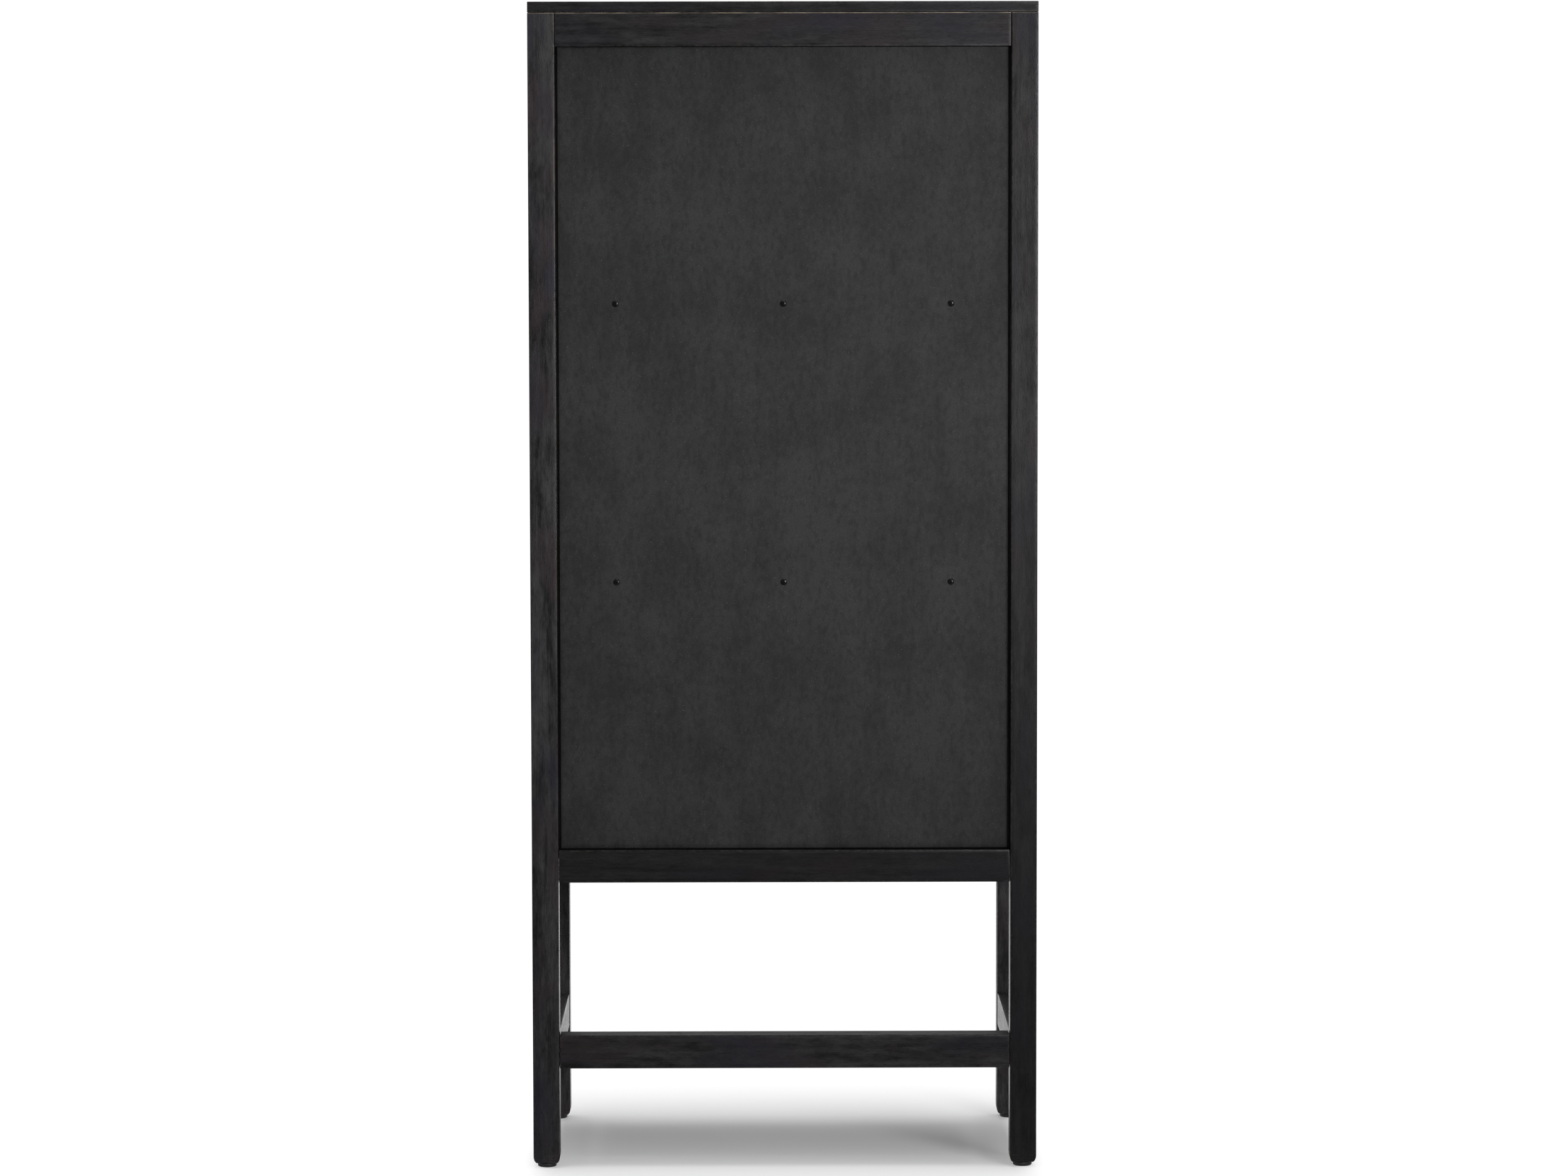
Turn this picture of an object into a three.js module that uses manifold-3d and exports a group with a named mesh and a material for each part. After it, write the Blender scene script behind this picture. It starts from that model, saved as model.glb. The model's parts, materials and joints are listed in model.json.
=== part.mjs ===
// Apothecary cabinet: a tall case on four corner posts that run down to the floor as legs.
// A pair of glazed doors closes two shelved tiers, and six small drawers fill the tier below.
// Millimetres, +Z up, front towards -Y. Left and right are as seen from the front.
// The origin is on the floor, at the centre of the whole footprint with the knobs.
import * as THREE from "three";
import { mergeVertices } from "three/addons/utils/BufferGeometryUtils.js";
import Module from "manifold-3d";

const wasm = await Module();
wasm.setup();

// ---- Driving dimensions -------------------------------------------------------------------

// Case and frame
const WIDTH = 800; // over the posts
const CASE_DEPTH = 460; // over the posts, without the knobs
const HEIGHT = 1845; // floor to the face of the top board
const POST = 42; // square section of a corner post
const TOP_BOARD = 17; // thickness of the top board
const RAIL_HEIGHT = 53; // case rails and stretchers alike
const CASE_BOTTOM = 459; // floor to the underside of the bottom rails
const STRETCHER_BOTTOM = 160; // floor to the underside of the stretchers
const STRETCHER_THICKNESS = 40;
const SIDE_PANEL = 20; // thickness, flush with the posts inside
const SIDE_TONGUE = 8; // thickness of the tongue on a side panel's long edges
const TONGUE_DEPTH = 6; // how far tongues and housed shelf ends go in
const TENON_THICKNESS = 10; // on the case rails
const STRETCHER_TENON_THICKNESS = 12;
const TENON_SHOULDER = 10; // rail above and below each tenon
const MORTISE_WALL = 1; // wood left between two mortises that meet in a post

// Back
const BACK_RECESS = 12; // frame face to back panel face
const BACK_PANEL = 12; // thickness
const SHADOW_GAP = 4; // width of the groove between back panel and posts
const SHADOW_GAP_DEPTH = 6;
const SCREW_INSET = 94; // post to the first screw of a row
const SCREWS_PER_SHELF = 3;
const SCREW_HEAD_RADIUS = 5;
const SCREW_HEAD_HEIGHT = 3;
const SCREW_SHANK_RADIUS = 1.8;
const SCREW_LENGTH = 40; // under the head

// Shelves and drawer bank
const SHELF = 18; // thickness of the shelves and of the case floor
const DRAWER_BANK = 413; // clear height from the case floor to the lower shelf
const SHELF_PITCH = 439; // lower shelf to upper shelf
const SHELF_SETBACK = 8; // upper shelf behind the closed doors
const DIVIDER = 16; // thickness of the boards between the drawers
const COLUMNS = 3;
const ROWS = 2;

// Drawers
const DRAWER_GAP = 2; // around each drawer front
const DRAWER_FRONT = 20;
const DRAWER_SIDE = 10;
const DRAWER_BASE = 6;
const DRAWER_RIM_DROP = 16; // top of the front down to the rim of the sides
const DRAWER_RUNNING = 0.5; // under the drawer sides
const DRAWER_BACK_SPACE = 16; // behind a closed drawer

// Doors
const DOOR_THICKNESS = 20;
const DOOR_GAP = 2.5; // around and between the doors
const STILE = 48;
const DOOR_TOP_RAIL = 48;
const DOOR_BOTTOM_RAIL = 60;
const GLAZING_BAR = 22; // height of the bar in front of the upper shelf
const GLASS = 4;
const GLASS_LIP = 8; // wood in front of the glass
const GLASS_RABBET = 8; // how far the rabbet reaches under the frame
const GLASS_CLEARANCE = 1; // around the pane, in its rabbet

// Butt hinges
const HINGE_HEIGHT = 64;
const HINGE_INSET = 110; // end of the door to the hinge's middle
const HINGE_LEAF = 1.8; // thickness
const HINGE_LEAF_WIDTH = 16;
const LEAF_SPACE = 0.2; // between closed leaves
const BARREL_RADIUS = 4;
const BARREL_CLEARANCE = 0.4; // barrel to the case front
const KNUCKLE = 22; // height of the middle knuckle
const PIN_RADIUS = 2;
const PIN_TIP_RADIUS = 3;
const PIN_TIP = 3; // height of the button on each end of the pin

// Knobs, catch and glides
const KNOB_REACH = 28;
const KNOB_RADIUS = 13;
const KNOB_NECK_RADIUS = 5;
const KNOB_ROSE_RADIUS = 10;
const KNOB_ROSE = 2;
const KNOB_STUD_RADIUS = 2.2;
const KNOB_STUD = 14; // length in the wood
const DRAWER_KNOB_DROP = 22; // below the middle of the drawer front
const DOOR_KNOB_HEIGHT = 330; // above the foot of the door
const CATCH_WIDTH = 46;
const CATCH_DROP = 17; // below the top rail
const CATCH_GRIP = 20; // up the back of the top rail
const CATCH_BODY = 13; // behind the top rail
const CATCH_SPACE = 1.5; // doors to catch
const GLIDE_RADIUS = 15;
const GLIDE_HEIGHT = 7;
const GLIDE_EASE = 2; // round of the glide's lower edge
const GLIDE_NAIL_RADIUS = 2;
const GLIDE_NAIL = 18;

// Clearances and facets
const FIT = 0.3; // glue line or seat between two pieces
const PIN_SPACE = 0.3; // round a hinge pin
const ROUND_STEPS = 16;
const PIN_STEPS = 12;

// ---- Planes worked out from them ----------------------------------------------------------

const OUTER_X = WIDTH / 2;
const INNER_X = OUTER_X - POST;
const FRONT = -CASE_DEPTH / 2;
const BACK = CASE_DEPTH / 2;
const FRAME_TOP = HEIGHT - TOP_BOARD;
const TOP_RAIL_BOTTOM = FRAME_TOP - RAIL_HEIGHT;
const FLOOR_TOP = CASE_BOTTOM + RAIL_HEIGHT;
const STRETCHER_TOP = STRETCHER_BOTTOM + RAIL_HEIGHT;
const RAIL_THICKNESS = BACK_RECESS + BACK_PANEL;
const INSIDE_BACK = BACK - RAIL_THICKNESS;
const LOWER_SHELF = FLOOR_TOP + DRAWER_BANK + SHELF / 2;
const UPPER_SHELF = LOWER_SHELF + SHELF_PITCH;
const DOOR_OPENING_BOTTOM = LOWER_SHELF + SHELF / 2;
const SIDE_RAIL_THICKNESS = POST - SIDE_PANEL - FIT;

// ---- Materials ----------------------------------------------------------------------------

const material = (color, roughness, metalness) =>
  new THREE.MeshStandardMaterial({ color, roughness, metalness });
const blackWood = () => material(0x2d2b2c, 0.55, 0);
const blackBoard = () => material(0x323232, 0.75, 0);
const darkMetal = () => material(0x2a2622, 0.4, 0.9);
const blackMetal = () => material(0x101010, 0.35, 0.6);
const blackPlastic = () => material(0x0c0c0c, 0.6, 0);
const clearGlass = () =>
  new THREE.MeshStandardMaterial({
    color: 0xdde6e4,
    roughness: 0.05,
    metalness: 0,
    transparent: true,
    opacity: 0.3,
  });

// ---- Solids -------------------------------------------------------------------------------

function solidOf(geometry) {
  const bare = geometry.clone();
  bare.deleteAttribute("normal");
  bare.deleteAttribute("uv");
  const merged = mergeVertices(bare, 1e-4);
  return new wasm.Manifold(
    new wasm.Mesh({
      numProp: 3,
      vertProperties: merged.attributes.position.array,
      triVerts: new Uint32Array(merged.index.array),
    }),
  );
}

function geometryOf(solid) {
  const { vertProperties, triVerts } = solid.getMesh();
  const shared = new THREE.BufferGeometry();
  shared.setAttribute("position", new THREE.BufferAttribute(new Float32Array(vertProperties), 3));
  shared.setIndex(new THREE.BufferAttribute(new Uint32Array(triVerts), 1));
  const flat = shared.toNonIndexed();
  flat.computeVertexNormals();
  return flat;
}

// A span is [low, high]. A block is a box between three spans.
const middle = ([low, high]) => (low + high) / 2;
const length = ([low, high]) => high - low;
const around = (centre, size) => [centre - size / 2, centre + size / 2];
const mirrored = ([low, high], side) => (side > 0 ? [low, high] : [-high, -low]);

function blockGeometry({ x, y, z }) {
  const box = new THREE.BoxGeometry(length(x), length(y), length(z));
  return box.translate(middle(x), middle(y), middle(z));
}

const block = (bounds) => solidOf(blockGeometry(bounds));

const grown = ({ x, y, z }, by) => ({
  x: [x[0] - by, x[1] + by],
  y: [y[0] - by, y[1] + by],
  z: [z[0] - by, z[1] + by],
});

// Blocks joined to and cut from a first block.
function joinery(base, joined, cut) {
  const whole = joined.reduce((solid, bounds) => solid.add(block(bounds)), block(base));
  return cut.reduce((solid, bounds) => solid.subtract(block(bounds)), whole);
}

// A turned solid. The profile is a list of [radius, height] from one end of the axis to the other.
function turnedGeometry(profile, steps) {
  const points = profile.map(([radius, height]) => new THREE.Vector2(radius, height));
  return new THREE.LatheGeometry(points, steps);
}

// A plain round bar between two heights.
const barProfile = (radius, low, high) => [
  [0, low],
  [radius, low],
  [radius, high],
  [0, high],
];

// Turned solids lie along Y. These stand one up along Z or point it to the front.
const upright = (geometry) => geometry.rotateX(Math.PI / 2);
const forward = (geometry) => geometry.rotateX(Math.PI);

// A mesh whose position is the given point and whose shape was made round the case origin.
function pieceAt(name, solid, finish, [x, y, z]) {
  const mesh = new THREE.Mesh(geometryOf(solid.translate(-x, -y, -z)), finish);
  mesh.name = name;
  mesh.position.set(x, y, z);
  return mesh;
}

// A mesh of a board, placed by the middle of its block.
function boardPiece(name, bounds, finish, joined = [], cut = []) {
  const centre = [middle(bounds.x), middle(bounds.y), middle(bounds.z)];
  return pieceAt(name, joinery(bounds, joined, cut), finish, centre);
}

function turnedPiece(name, geometry, finish, [x, y, z]) {
  const mesh = new THREE.Mesh(geometryOf(solidOf(geometry)), finish);
  mesh.name = name;
  mesh.position.set(x, y, z);
  return mesh;
}

// ---- Rails and stretchers, each with a tenon at both ends ---------------------------------

const caseTenonLength = POST / 2 - MORTISE_WALL;
const stretcherTenonLength = POST / 2 - STRETCHER_TENON_THICKNESS / 2 - MORTISE_WALL;
const postSpanX = [-INNER_X + FIT, INNER_X - FIT];
const postSpanY = [FRONT + POST + FIT, BACK - POST - FIT];
const railHeights = {
  top: [TOP_RAIL_BOTTOM, FRAME_TOP - FIT],
  bottom: [CASE_BOTTOM, FLOOR_TOP],
  stretcher: [STRETCHER_BOTTOM, STRETCHER_TOP],
};

// A rail along X, with its face flush with the posts at the front (face -1) or the back (1).
function crossRail(name, face, z, thickness, tenon, tenonLength) {
  const y = face > 0 ? [BACK - thickness, BACK] : [FRONT, FRONT + thickness];
  const bounds = { x: postSpanX, y, z };
  const tenonX = [INNER_X - 2 * FIT, INNER_X + tenonLength - FIT];
  const tenonY = around(middle(y), tenon);
  const tenonZ = [z[0] + TENON_SHOULDER, z[1] - TENON_SHOULDER];
  const tenons = [-1, 1].map((side) => ({ x: mirrored(tenonX, side), y: tenonY, z: tenonZ }));
  return { name, bounds, tenons };
}

// A rail along Y, on the left (side -1) or the right (1), between two distances from the middle.
function sideRail(name, side, z, reach, tenon, tenonLength) {
  const x = mirrored(reach, side);
  const bounds = { x, y: postSpanY, z };
  const tenonX = around(middle(x), tenon);
  const tenonZ = [z[0] + TENON_SHOULDER, z[1] - TENON_SHOULDER];
  const tenonY = [BACK - POST - 2 * FIT, BACK - POST + tenonLength - FIT];
  const tenons = [-1, 1].map((end) => ({ x: tenonX, y: mirrored(tenonY, end), z: tenonZ }));
  return { name, bounds, tenons };
}

const caseCrossRail = (name, face, z) =>
  crossRail(name, face, z, RAIL_THICKNESS, TENON_THICKNESS, caseTenonLength);
const caseSideRail = (name, side, z) =>
  sideRail(name, side, z, [OUTER_X - SIDE_RAIL_THICKNESS, OUTER_X], TENON_THICKNESS, caseTenonLength);
const stretcherReach = around(OUTER_X - POST / 2, STRETCHER_THICKNESS);
const sideStretcher = (name, side) =>
  sideRail(
    name,
    side,
    railHeights.stretcher,
    stretcherReach,
    STRETCHER_TENON_THICKNESS,
    stretcherTenonLength,
  );

function rearStretcher() {
  const made = crossRail(
    "rear_stretcher",
    1,
    railHeights.stretcher,
    STRETCHER_THICKNESS,
    STRETCHER_TENON_THICKNESS,
    stretcherTenonLength,
  );
  const inset = (POST - STRETCHER_THICKNESS) / 2;
  const moved = (bounds) => ({ ...bounds, y: bounds.y.map((value) => value - inset) });
  return { ...made, bounds: moved(made.bounds), tenons: made.tenons.map(moved) };
}

const rails = [
  caseCrossRail("rear_top_rail", 1, railHeights.top),
  caseCrossRail("rear_bottom_rail", 1, railHeights.bottom),
  caseCrossRail("front_top_rail", -1, railHeights.top),
  caseCrossRail("front_bottom_rail", -1, railHeights.bottom),
  caseSideRail("left_top_rail", -1, railHeights.top),
  caseSideRail("left_bottom_rail", -1, railHeights.bottom),
  caseSideRail("right_top_rail", 1, railHeights.top),
  caseSideRail("right_bottom_rail", 1, railHeights.bottom),
  rearStretcher(),
  sideStretcher("left_stretcher", -1),
  sideStretcher("right_stretcher", 1),
];

// ---- Side panels: boards tongued into the posts, flush inside -----------------------------

const sidePanelZ = [CASE_BOTTOM, FRAME_TOP - FIT];
const sidePanelX = [INNER_X, INNER_X + SIDE_PANEL];

function sideTongues(side) {
  const x = mirrored(around(middle(sidePanelX), SIDE_TONGUE), side);
  const y = [BACK - POST - 2 * FIT, BACK - POST + TONGUE_DEPTH];
  return [-1, 1].map((end) => ({ x, y: mirrored(y, end), z: sidePanelZ }));
}

// ---- Shelves and case floor: their ends are housed in the side panels ---------------------

// The part of a shelf between the front and rear posts that reaches into both side panels.
const housedEnds = (z) => ({
  x: [-INNER_X - TONGUE_DEPTH, INNER_X + TONGUE_DEPTH],
  y: postSpanY,
  z,
});

const shelfSpan = (height) => around(height, SHELF);
const floorSpan = [FLOOR_TOP - SHELF, FLOOR_TOP];
const shelves = [
  {
    name: "case_floor",
    z: floorSpan,
    y: [FRONT + RAIL_THICKNESS + FIT, BACK - RAIL_THICKNESS - FIT],
  },
  { name: "lower_shelf", z: shelfSpan(LOWER_SHELF), y: [FRONT, INSIDE_BACK - FIT] },
  {
    name: "upper_shelf",
    z: shelfSpan(UPPER_SHELF),
    y: [FRONT + DOOR_THICKNESS + SHELF_SETBACK, INSIDE_BACK - FIT],
  },
];

// ---- Screws that hold the back panel to the two shelves ----------------------------------

const screwStep = (2 * (INNER_X - SCREW_INSET)) / (SCREWS_PER_SHELF - 1);
const screwPlaces = [
  ["lower", LOWER_SHELF],
  ["upper", UPPER_SHELF],
].flatMap(([row, z]) =>
  Array.from({ length: SCREWS_PER_SHELF }, (_, i) => ({
    name: `${row}_back_screw_${i + 1}`,
    place: [-INNER_X + SCREW_INSET + i * screwStep, BACK - BACK_RECESS, z],
  })),
);

function screwHole([x, y, z]) {
  const hole = barProfile(SCREW_SHANK_RADIUS + FIT, -SCREW_LENGTH - FIT, SCREW_HEAD_HEIGHT);
  return solidOf(turnedGeometry(hole, PIN_STEPS)).translate(x, y, z);
}

const withScrewHoles = (solid) =>
  screwPlaces.reduce((rest, { place }) => rest.subtract(screwHole(place)), solid);

// The head's underside rests on the panel, the dome stands out and the shank goes forward.
function screwGeometry() {
  const seat = FIT / 2;
  return turnedGeometry(
    [
      [0, -SCREW_LENGTH],
      [SCREW_SHANK_RADIUS, -SCREW_LENGTH + 2 * SCREW_SHANK_RADIUS],
      [SCREW_SHANK_RADIUS, seat],
      [SCREW_HEAD_RADIUS, seat],
      [SCREW_HEAD_RADIUS, SCREW_HEAD_HEIGHT / 3],
      [0.7 * SCREW_HEAD_RADIUS, 0.85 * SCREW_HEAD_HEIGHT],
      [0, SCREW_HEAD_HEIGHT],
    ],
    ROUND_STEPS,
  );
}

// ---- Posts ---------------------------------------------------------------------------------

const hingeAxisX = INNER_X - DOOR_GAP / 2;
const hingeAxisY = FRONT - BARREL_RADIUS - BARREL_CLEARANCE;
const doorZ = [DOOR_OPENING_BOTTOM + DOOR_GAP, TOP_RAIL_BOTTOM - DOOR_GAP];
const hingeHeights = { lower: doorZ[0] + HINGE_INSET, upper: doorZ[1] - HINGE_INSET };

// The plate of a leaf, on the post's side (1) or the door's side (-1) of the hinge line.
function leafPlate(side, height, ofPost) {
  const away = [LEAF_SPACE / 2, LEAF_SPACE / 2 + HINGE_LEAF];
  const right = ofPost ? away.map((d) => hingeAxisX + d) : away.map((d) => hingeAxisX - d).reverse();
  return {
    x: mirrored(right, side),
    y: [FRONT, FRONT + HINGE_LEAF_WIDTH],
    z: around(height, HINGE_HEIGHT),
  };
}

// A leaf's recess is open at the front, so that the leaf can be laid in.
function leafRecess(side, height, ofPost) {
  const room = grown(leafPlate(side, height, ofPost), FIT);
  return { ...room, y: [FRONT - 1, room.y[1]] };
}

const hingeLevels = Object.values(hingeHeights);
const glideNail = (x, y) =>
  solidOf(
    upright(turnedGeometry(barProfile(GLIDE_NAIL_RADIUS + FIT, -1, GLIDE_NAIL + FIT), PIN_STEPS)),
  ).translate(x, y, GLIDE_HEIGHT);

function post(name, side, face) {
  const x = side * (OUTER_X - POST / 2);
  const y = face * (BACK - POST / 2);
  const bounds = { x: around(x, POST), y: around(y, POST), z: [GLIDE_HEIGHT, FRAME_TOP - FIT] };
  const mortises = rails.flatMap((rail) => rail.tenons.map((tenon) => grown(tenon, FIT)));
  const grooves = sideTongues(side).map((tongue) => grown(tongue, FIT));
  const recesses = face < 0 ? hingeLevels.map((z) => leafRecess(side, z, true)) : [];
  const body = joinery(bounds, [], [...mortises, ...grooves, ...recesses]);
  return pieceAt(name, body.subtract(glideNail(x, y)), blackWood(), [x, y, GLIDE_HEIGHT]);
}

// A round disc with a nail up into the post.
function glide(name, side, face) {
  const profile = [
    [0, 0],
    [GLIDE_RADIUS - GLIDE_EASE, 0],
    [GLIDE_RADIUS, GLIDE_EASE],
    [GLIDE_RADIUS, GLIDE_HEIGHT - FIT],
    [GLIDE_NAIL_RADIUS, GLIDE_HEIGHT - FIT],
    [GLIDE_NAIL_RADIUS, GLIDE_HEIGHT + GLIDE_NAIL - GLIDE_NAIL_RADIUS],
    [0, GLIDE_HEIGHT + GLIDE_NAIL],
  ];
  const place = [side * (OUTER_X - POST / 2), face * (BACK - POST / 2), 0];
  return turnedPiece(name, upright(turnedGeometry(profile, ROUND_STEPS)), blackPlastic(), place);
}

// ---- Knobs --------------------------------------------------------------------------------

// The rose seats on the wood at height 0 and the stud goes in behind it.
function knobGeometry() {
  const seat = FIT / 2;
  return forward(
    turnedGeometry(
      [
        [0, -KNOB_STUD],
        [KNOB_STUD_RADIUS, -KNOB_STUD],
        [KNOB_STUD_RADIUS, seat],
        [KNOB_ROSE_RADIUS, seat],
        [KNOB_ROSE_RADIUS, KNOB_ROSE],
        [KNOB_NECK_RADIUS, KNOB_ROSE + 2],
        [KNOB_NECK_RADIUS, 0.5 * KNOB_REACH],
        [KNOB_RADIUS, 0.68 * KNOB_REACH],
        [KNOB_RADIUS, 0.82 * KNOB_REACH],
        [0.8 * KNOB_RADIUS, KNOB_REACH],
        [0, KNOB_REACH],
      ],
      ROUND_STEPS,
    ),
  );
}

const knob = (name, x, z) => turnedPiece(name, knobGeometry(), darkMetal(), [x, FRONT, z]);

function knobHole(x, z) {
  const hole = barProfile(KNOB_STUD_RADIUS + FIT, -KNOB_STUD - FIT, 1);
  return solidOf(forward(turnedGeometry(hole, PIN_STEPS))).translate(x, FRONT, z);
}

// ---- Drawer bank --------------------------------------------------------------------------

const bayWidth = (2 * INNER_X - (COLUMNS - 1) * DIVIDER) / COLUMNS;
const bayHeight = (DRAWER_BANK - (ROWS - 1) * DIVIDER) / ROWS;
const bayX = (column) => {
  const low = -INNER_X + column * (bayWidth + DIVIDER);
  return [low, low + bayWidth];
};
const bayZ = (row) => {
  const low = FLOOR_TOP + row * (bayHeight + DIVIDER);
  return [low, low + bayHeight];
};

// One board between the rows and one between each two columns, halved into each other.
function drawerGrid() {
  const y = [FRONT, INSIDE_BACK - FIT];
  const rowBoards = Array.from({ length: ROWS - 1 }, (_, row) => ({
    x: [-INNER_X + FIT, INNER_X - FIT],
    y,
    z: [bayZ(row)[1], bayZ(row + 1)[0]],
  }));
  const columnBoards = Array.from({ length: COLUMNS - 1 }, (_, column) => ({
    x: [bayX(column)[1], bayX(column + 1)[0]],
    y,
    z: [FLOOR_TOP + FIT, FLOOR_TOP + DRAWER_BANK - FIT],
  }));
  return boardPiece("drawer_grid", rowBoards[0], blackWood(), columnBoards);
}

function drawer(name, column, row) {
  const bay = { x: bayX(column), z: bayZ(row) };
  const x = [bay.x[0] + DRAWER_GAP, bay.x[1] - DRAWER_GAP];
  const front = {
    x,
    y: [FRONT, FRONT + DRAWER_FRONT],
    z: [bay.z[0] + DRAWER_GAP, bay.z[1] - DRAWER_GAP],
  };
  const box = {
    x,
    y: [FRONT + DRAWER_FRONT / 2, INSIDE_BACK - DRAWER_BACK_SPACE],
    z: [bay.z[0] + DRAWER_RUNNING, front.z[1] - DRAWER_RIM_DROP],
  };
  const inside = {
    x: [x[0] + DRAWER_SIDE, x[1] - DRAWER_SIDE],
    y: [front.y[1], box.y[1] - DRAWER_SIDE],
    z: [box.z[0] + DRAWER_BASE, front.z[1]],
  };
  const knobPlace = [middle(x), middle(front.z) - DRAWER_KNOB_DROP];
  const body = joinery(front, [box], [inside]).subtract(knobHole(...knobPlace));
  const group = new THREE.Group();
  group.add(
    pieceAt(name, body, blackWood(), [middle(x), FRONT, middle(front.z)]),
    knob(`${name}_knob`, ...knobPlace),
  );
  return group;
}

const columnNames = ["left", "middle", "right"];
const rowNames = ["lower", "upper"];
const drawers = rowNames.flatMap((rowName, row) =>
  columnNames.map((columnName, column) => drawer(`${rowName}_${columnName}_drawer`, column, row)),
);

// ---- Hinges -------------------------------------------------------------------------------

const fixedKnuckle = (HINGE_HEIGHT - KNUCKLE) / 2 - FIT;

// A short bar from the barrel's middle to the plate, over a span of heights.
const barrelWeb = (plate, z) => ({ x: plate.x, y: [hingeAxisY, FRONT + 1], z });

// Post side: a plate with an upper and a lower knuckle, bored for the pin.
function postLeaf(name, side, height) {
  const plate = leafPlate(side, height, true);
  const spans = [
    [plate.z[0], plate.z[0] + fixedKnuckle],
    [plate.z[1] - fixedKnuckle, plate.z[1]],
  ];
  const axis = [side * hingeAxisX, hingeAxisY, 0];
  const bar = (radius, [low, high]) =>
    solidOf(upright(turnedGeometry(barProfile(radius, low, high), PIN_STEPS))).translate(...axis);
  let leaf = joinery(plate, spans.map((z) => barrelWeb(plate, z)), []);
  for (const z of spans) leaf = leaf.add(bar(BARREL_RADIUS, z));
  const bore = [plate.z[0] - 1, plate.z[1] + 1];
  leaf = leaf.subtract(bar(PIN_RADIUS + PIN_SPACE, bore));
  return pieceAt(name, leaf, darkMetal(), [axis[0], axis[1], height]);
}

// Door side: a plate with the middle knuckle and the pin, which has a button at each end.
function doorLeaf(name, side, height) {
  const plate = leafPlate(side, height, false);
  const web = barrelWeb(plate, around(height, KNUCKLE));
  const end = HINGE_HEIGHT / 2 + FIT;
  const tip = end + PIN_TIP;
  const pin = turnedGeometry(
    [
      [0, -tip],
      [0.6 * PIN_TIP_RADIUS, -tip],
      [PIN_TIP_RADIUS, -end - PIN_TIP / 2],
      [PIN_TIP_RADIUS, -end],
      [PIN_RADIUS, -end],
      [PIN_RADIUS, -KNUCKLE / 2],
      [BARREL_RADIUS, -KNUCKLE / 2],
      [BARREL_RADIUS, KNUCKLE / 2],
      [PIN_RADIUS, KNUCKLE / 2],
      [PIN_RADIUS, end],
      [PIN_TIP_RADIUS, end],
      [PIN_TIP_RADIUS, end + PIN_TIP / 2],
      [0.6 * PIN_TIP_RADIUS, tip],
      [0, tip],
    ],
    PIN_STEPS,
  );
  const axis = [side * hingeAxisX, hingeAxisY, height];
  const turned = solidOf(upright(pin)).translate(...axis);
  return pieceAt(name, joinery(plate, [web], []).add(turned), darkMetal(), axis);
}

// ---- Doors --------------------------------------------------------------------------------

function door(sideName, side) {
  const y = [FRONT, FRONT + DOOR_THICKNESS];
  const width = [DOOR_GAP / 2, INNER_X - DOOR_GAP];
  const windowX = [width[0] + STILE, width[1] - STILE];
  const bar = around(UPPER_SHELF, GLAZING_BAR);
  const windowZ = [doorZ[0] + DOOR_BOTTOM_RAIL, doorZ[1] - DOOR_TOP_RAIL];
  const through = [y[0] - 1, y[1] + 1];
  const pane = (z) => ({ x: mirrored(windowX, side), y: through, z });
  const rabbetX = [windowX[0] - GLASS_RABBET, windowX[1] + GLASS_RABBET];
  const rabbetZ = [windowZ[0] - GLASS_RABBET, windowZ[1] + GLASS_RABBET];
  const rabbet = { x: mirrored(rabbetX, side), y: [y[0] + GLASS_LIP, through[1]], z: rabbetZ };
  const recesses = hingeLevels.map((z) => leafRecess(side, z, false));
  const cuts = [pane([windowZ[0], bar[0]]), pane([bar[1], windowZ[1]]), rabbet, ...recesses];
  const frameBounds = { x: mirrored(width, side), y, z: doorZ };
  const knobPlace = [side * (width[0] + STILE / 2), doorZ[0] + DOOR_KNOB_HEIGHT];
  const frame = joinery(frameBounds, [], cuts).subtract(knobHole(...knobPlace));
  const glass = {
    x: mirrored([rabbetX[0] + GLASS_CLEARANCE, rabbetX[1] - GLASS_CLEARANCE], side),
    y: [y[0] + GLASS_LIP + FIT, y[0] + GLASS_LIP + FIT + GLASS],
    z: [rabbetZ[0] + GLASS_CLEARANCE, rabbetZ[1] - GLASS_CLEARANCE],
  };
  const name = `${sideName}_door`;
  const group = new THREE.Group();
  group.add(
    pieceAt(`${name}_frame`, frame, blackWood(), [side * hingeAxisX, FRONT, doorZ[0]]),
    boardPiece(`${name}_glass`, glass, clearGlass()),
    knob(`${name}_knob`, ...knobPlace),
  );
  for (const [level, height] of Object.entries(hingeHeights))
    group.add(doorLeaf(`${name}_${level}_hinge_leaf`, side, height));
  return group;
}

// ---- Carcass ------------------------------------------------------------------------------

function sidePanel(name, side) {
  const bounds = { x: mirrored(sidePanelX, side), y: postSpanY, z: sidePanelZ };
  const housings = shelves.map(({ z }) => grown(housedEnds(z), FIT));
  return boardPiece(name, bounds, blackWood(), sideTongues(side), housings);
}

function shelf({ name, y, z }) {
  const bounds = { x: [-INNER_X + FIT, INNER_X - FIT], y, z };
  const ends = housedEnds(z);
  const housed = { ...ends, y: [Math.max(ends.y[0], y[0]), Math.min(ends.y[1], y[1])] };
  const centre = [0, middle(y), middle(z)];
  return pieceAt(name, withScrewHoles(joinery(bounds, [housed], [])), blackWood(), centre);
}

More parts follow.
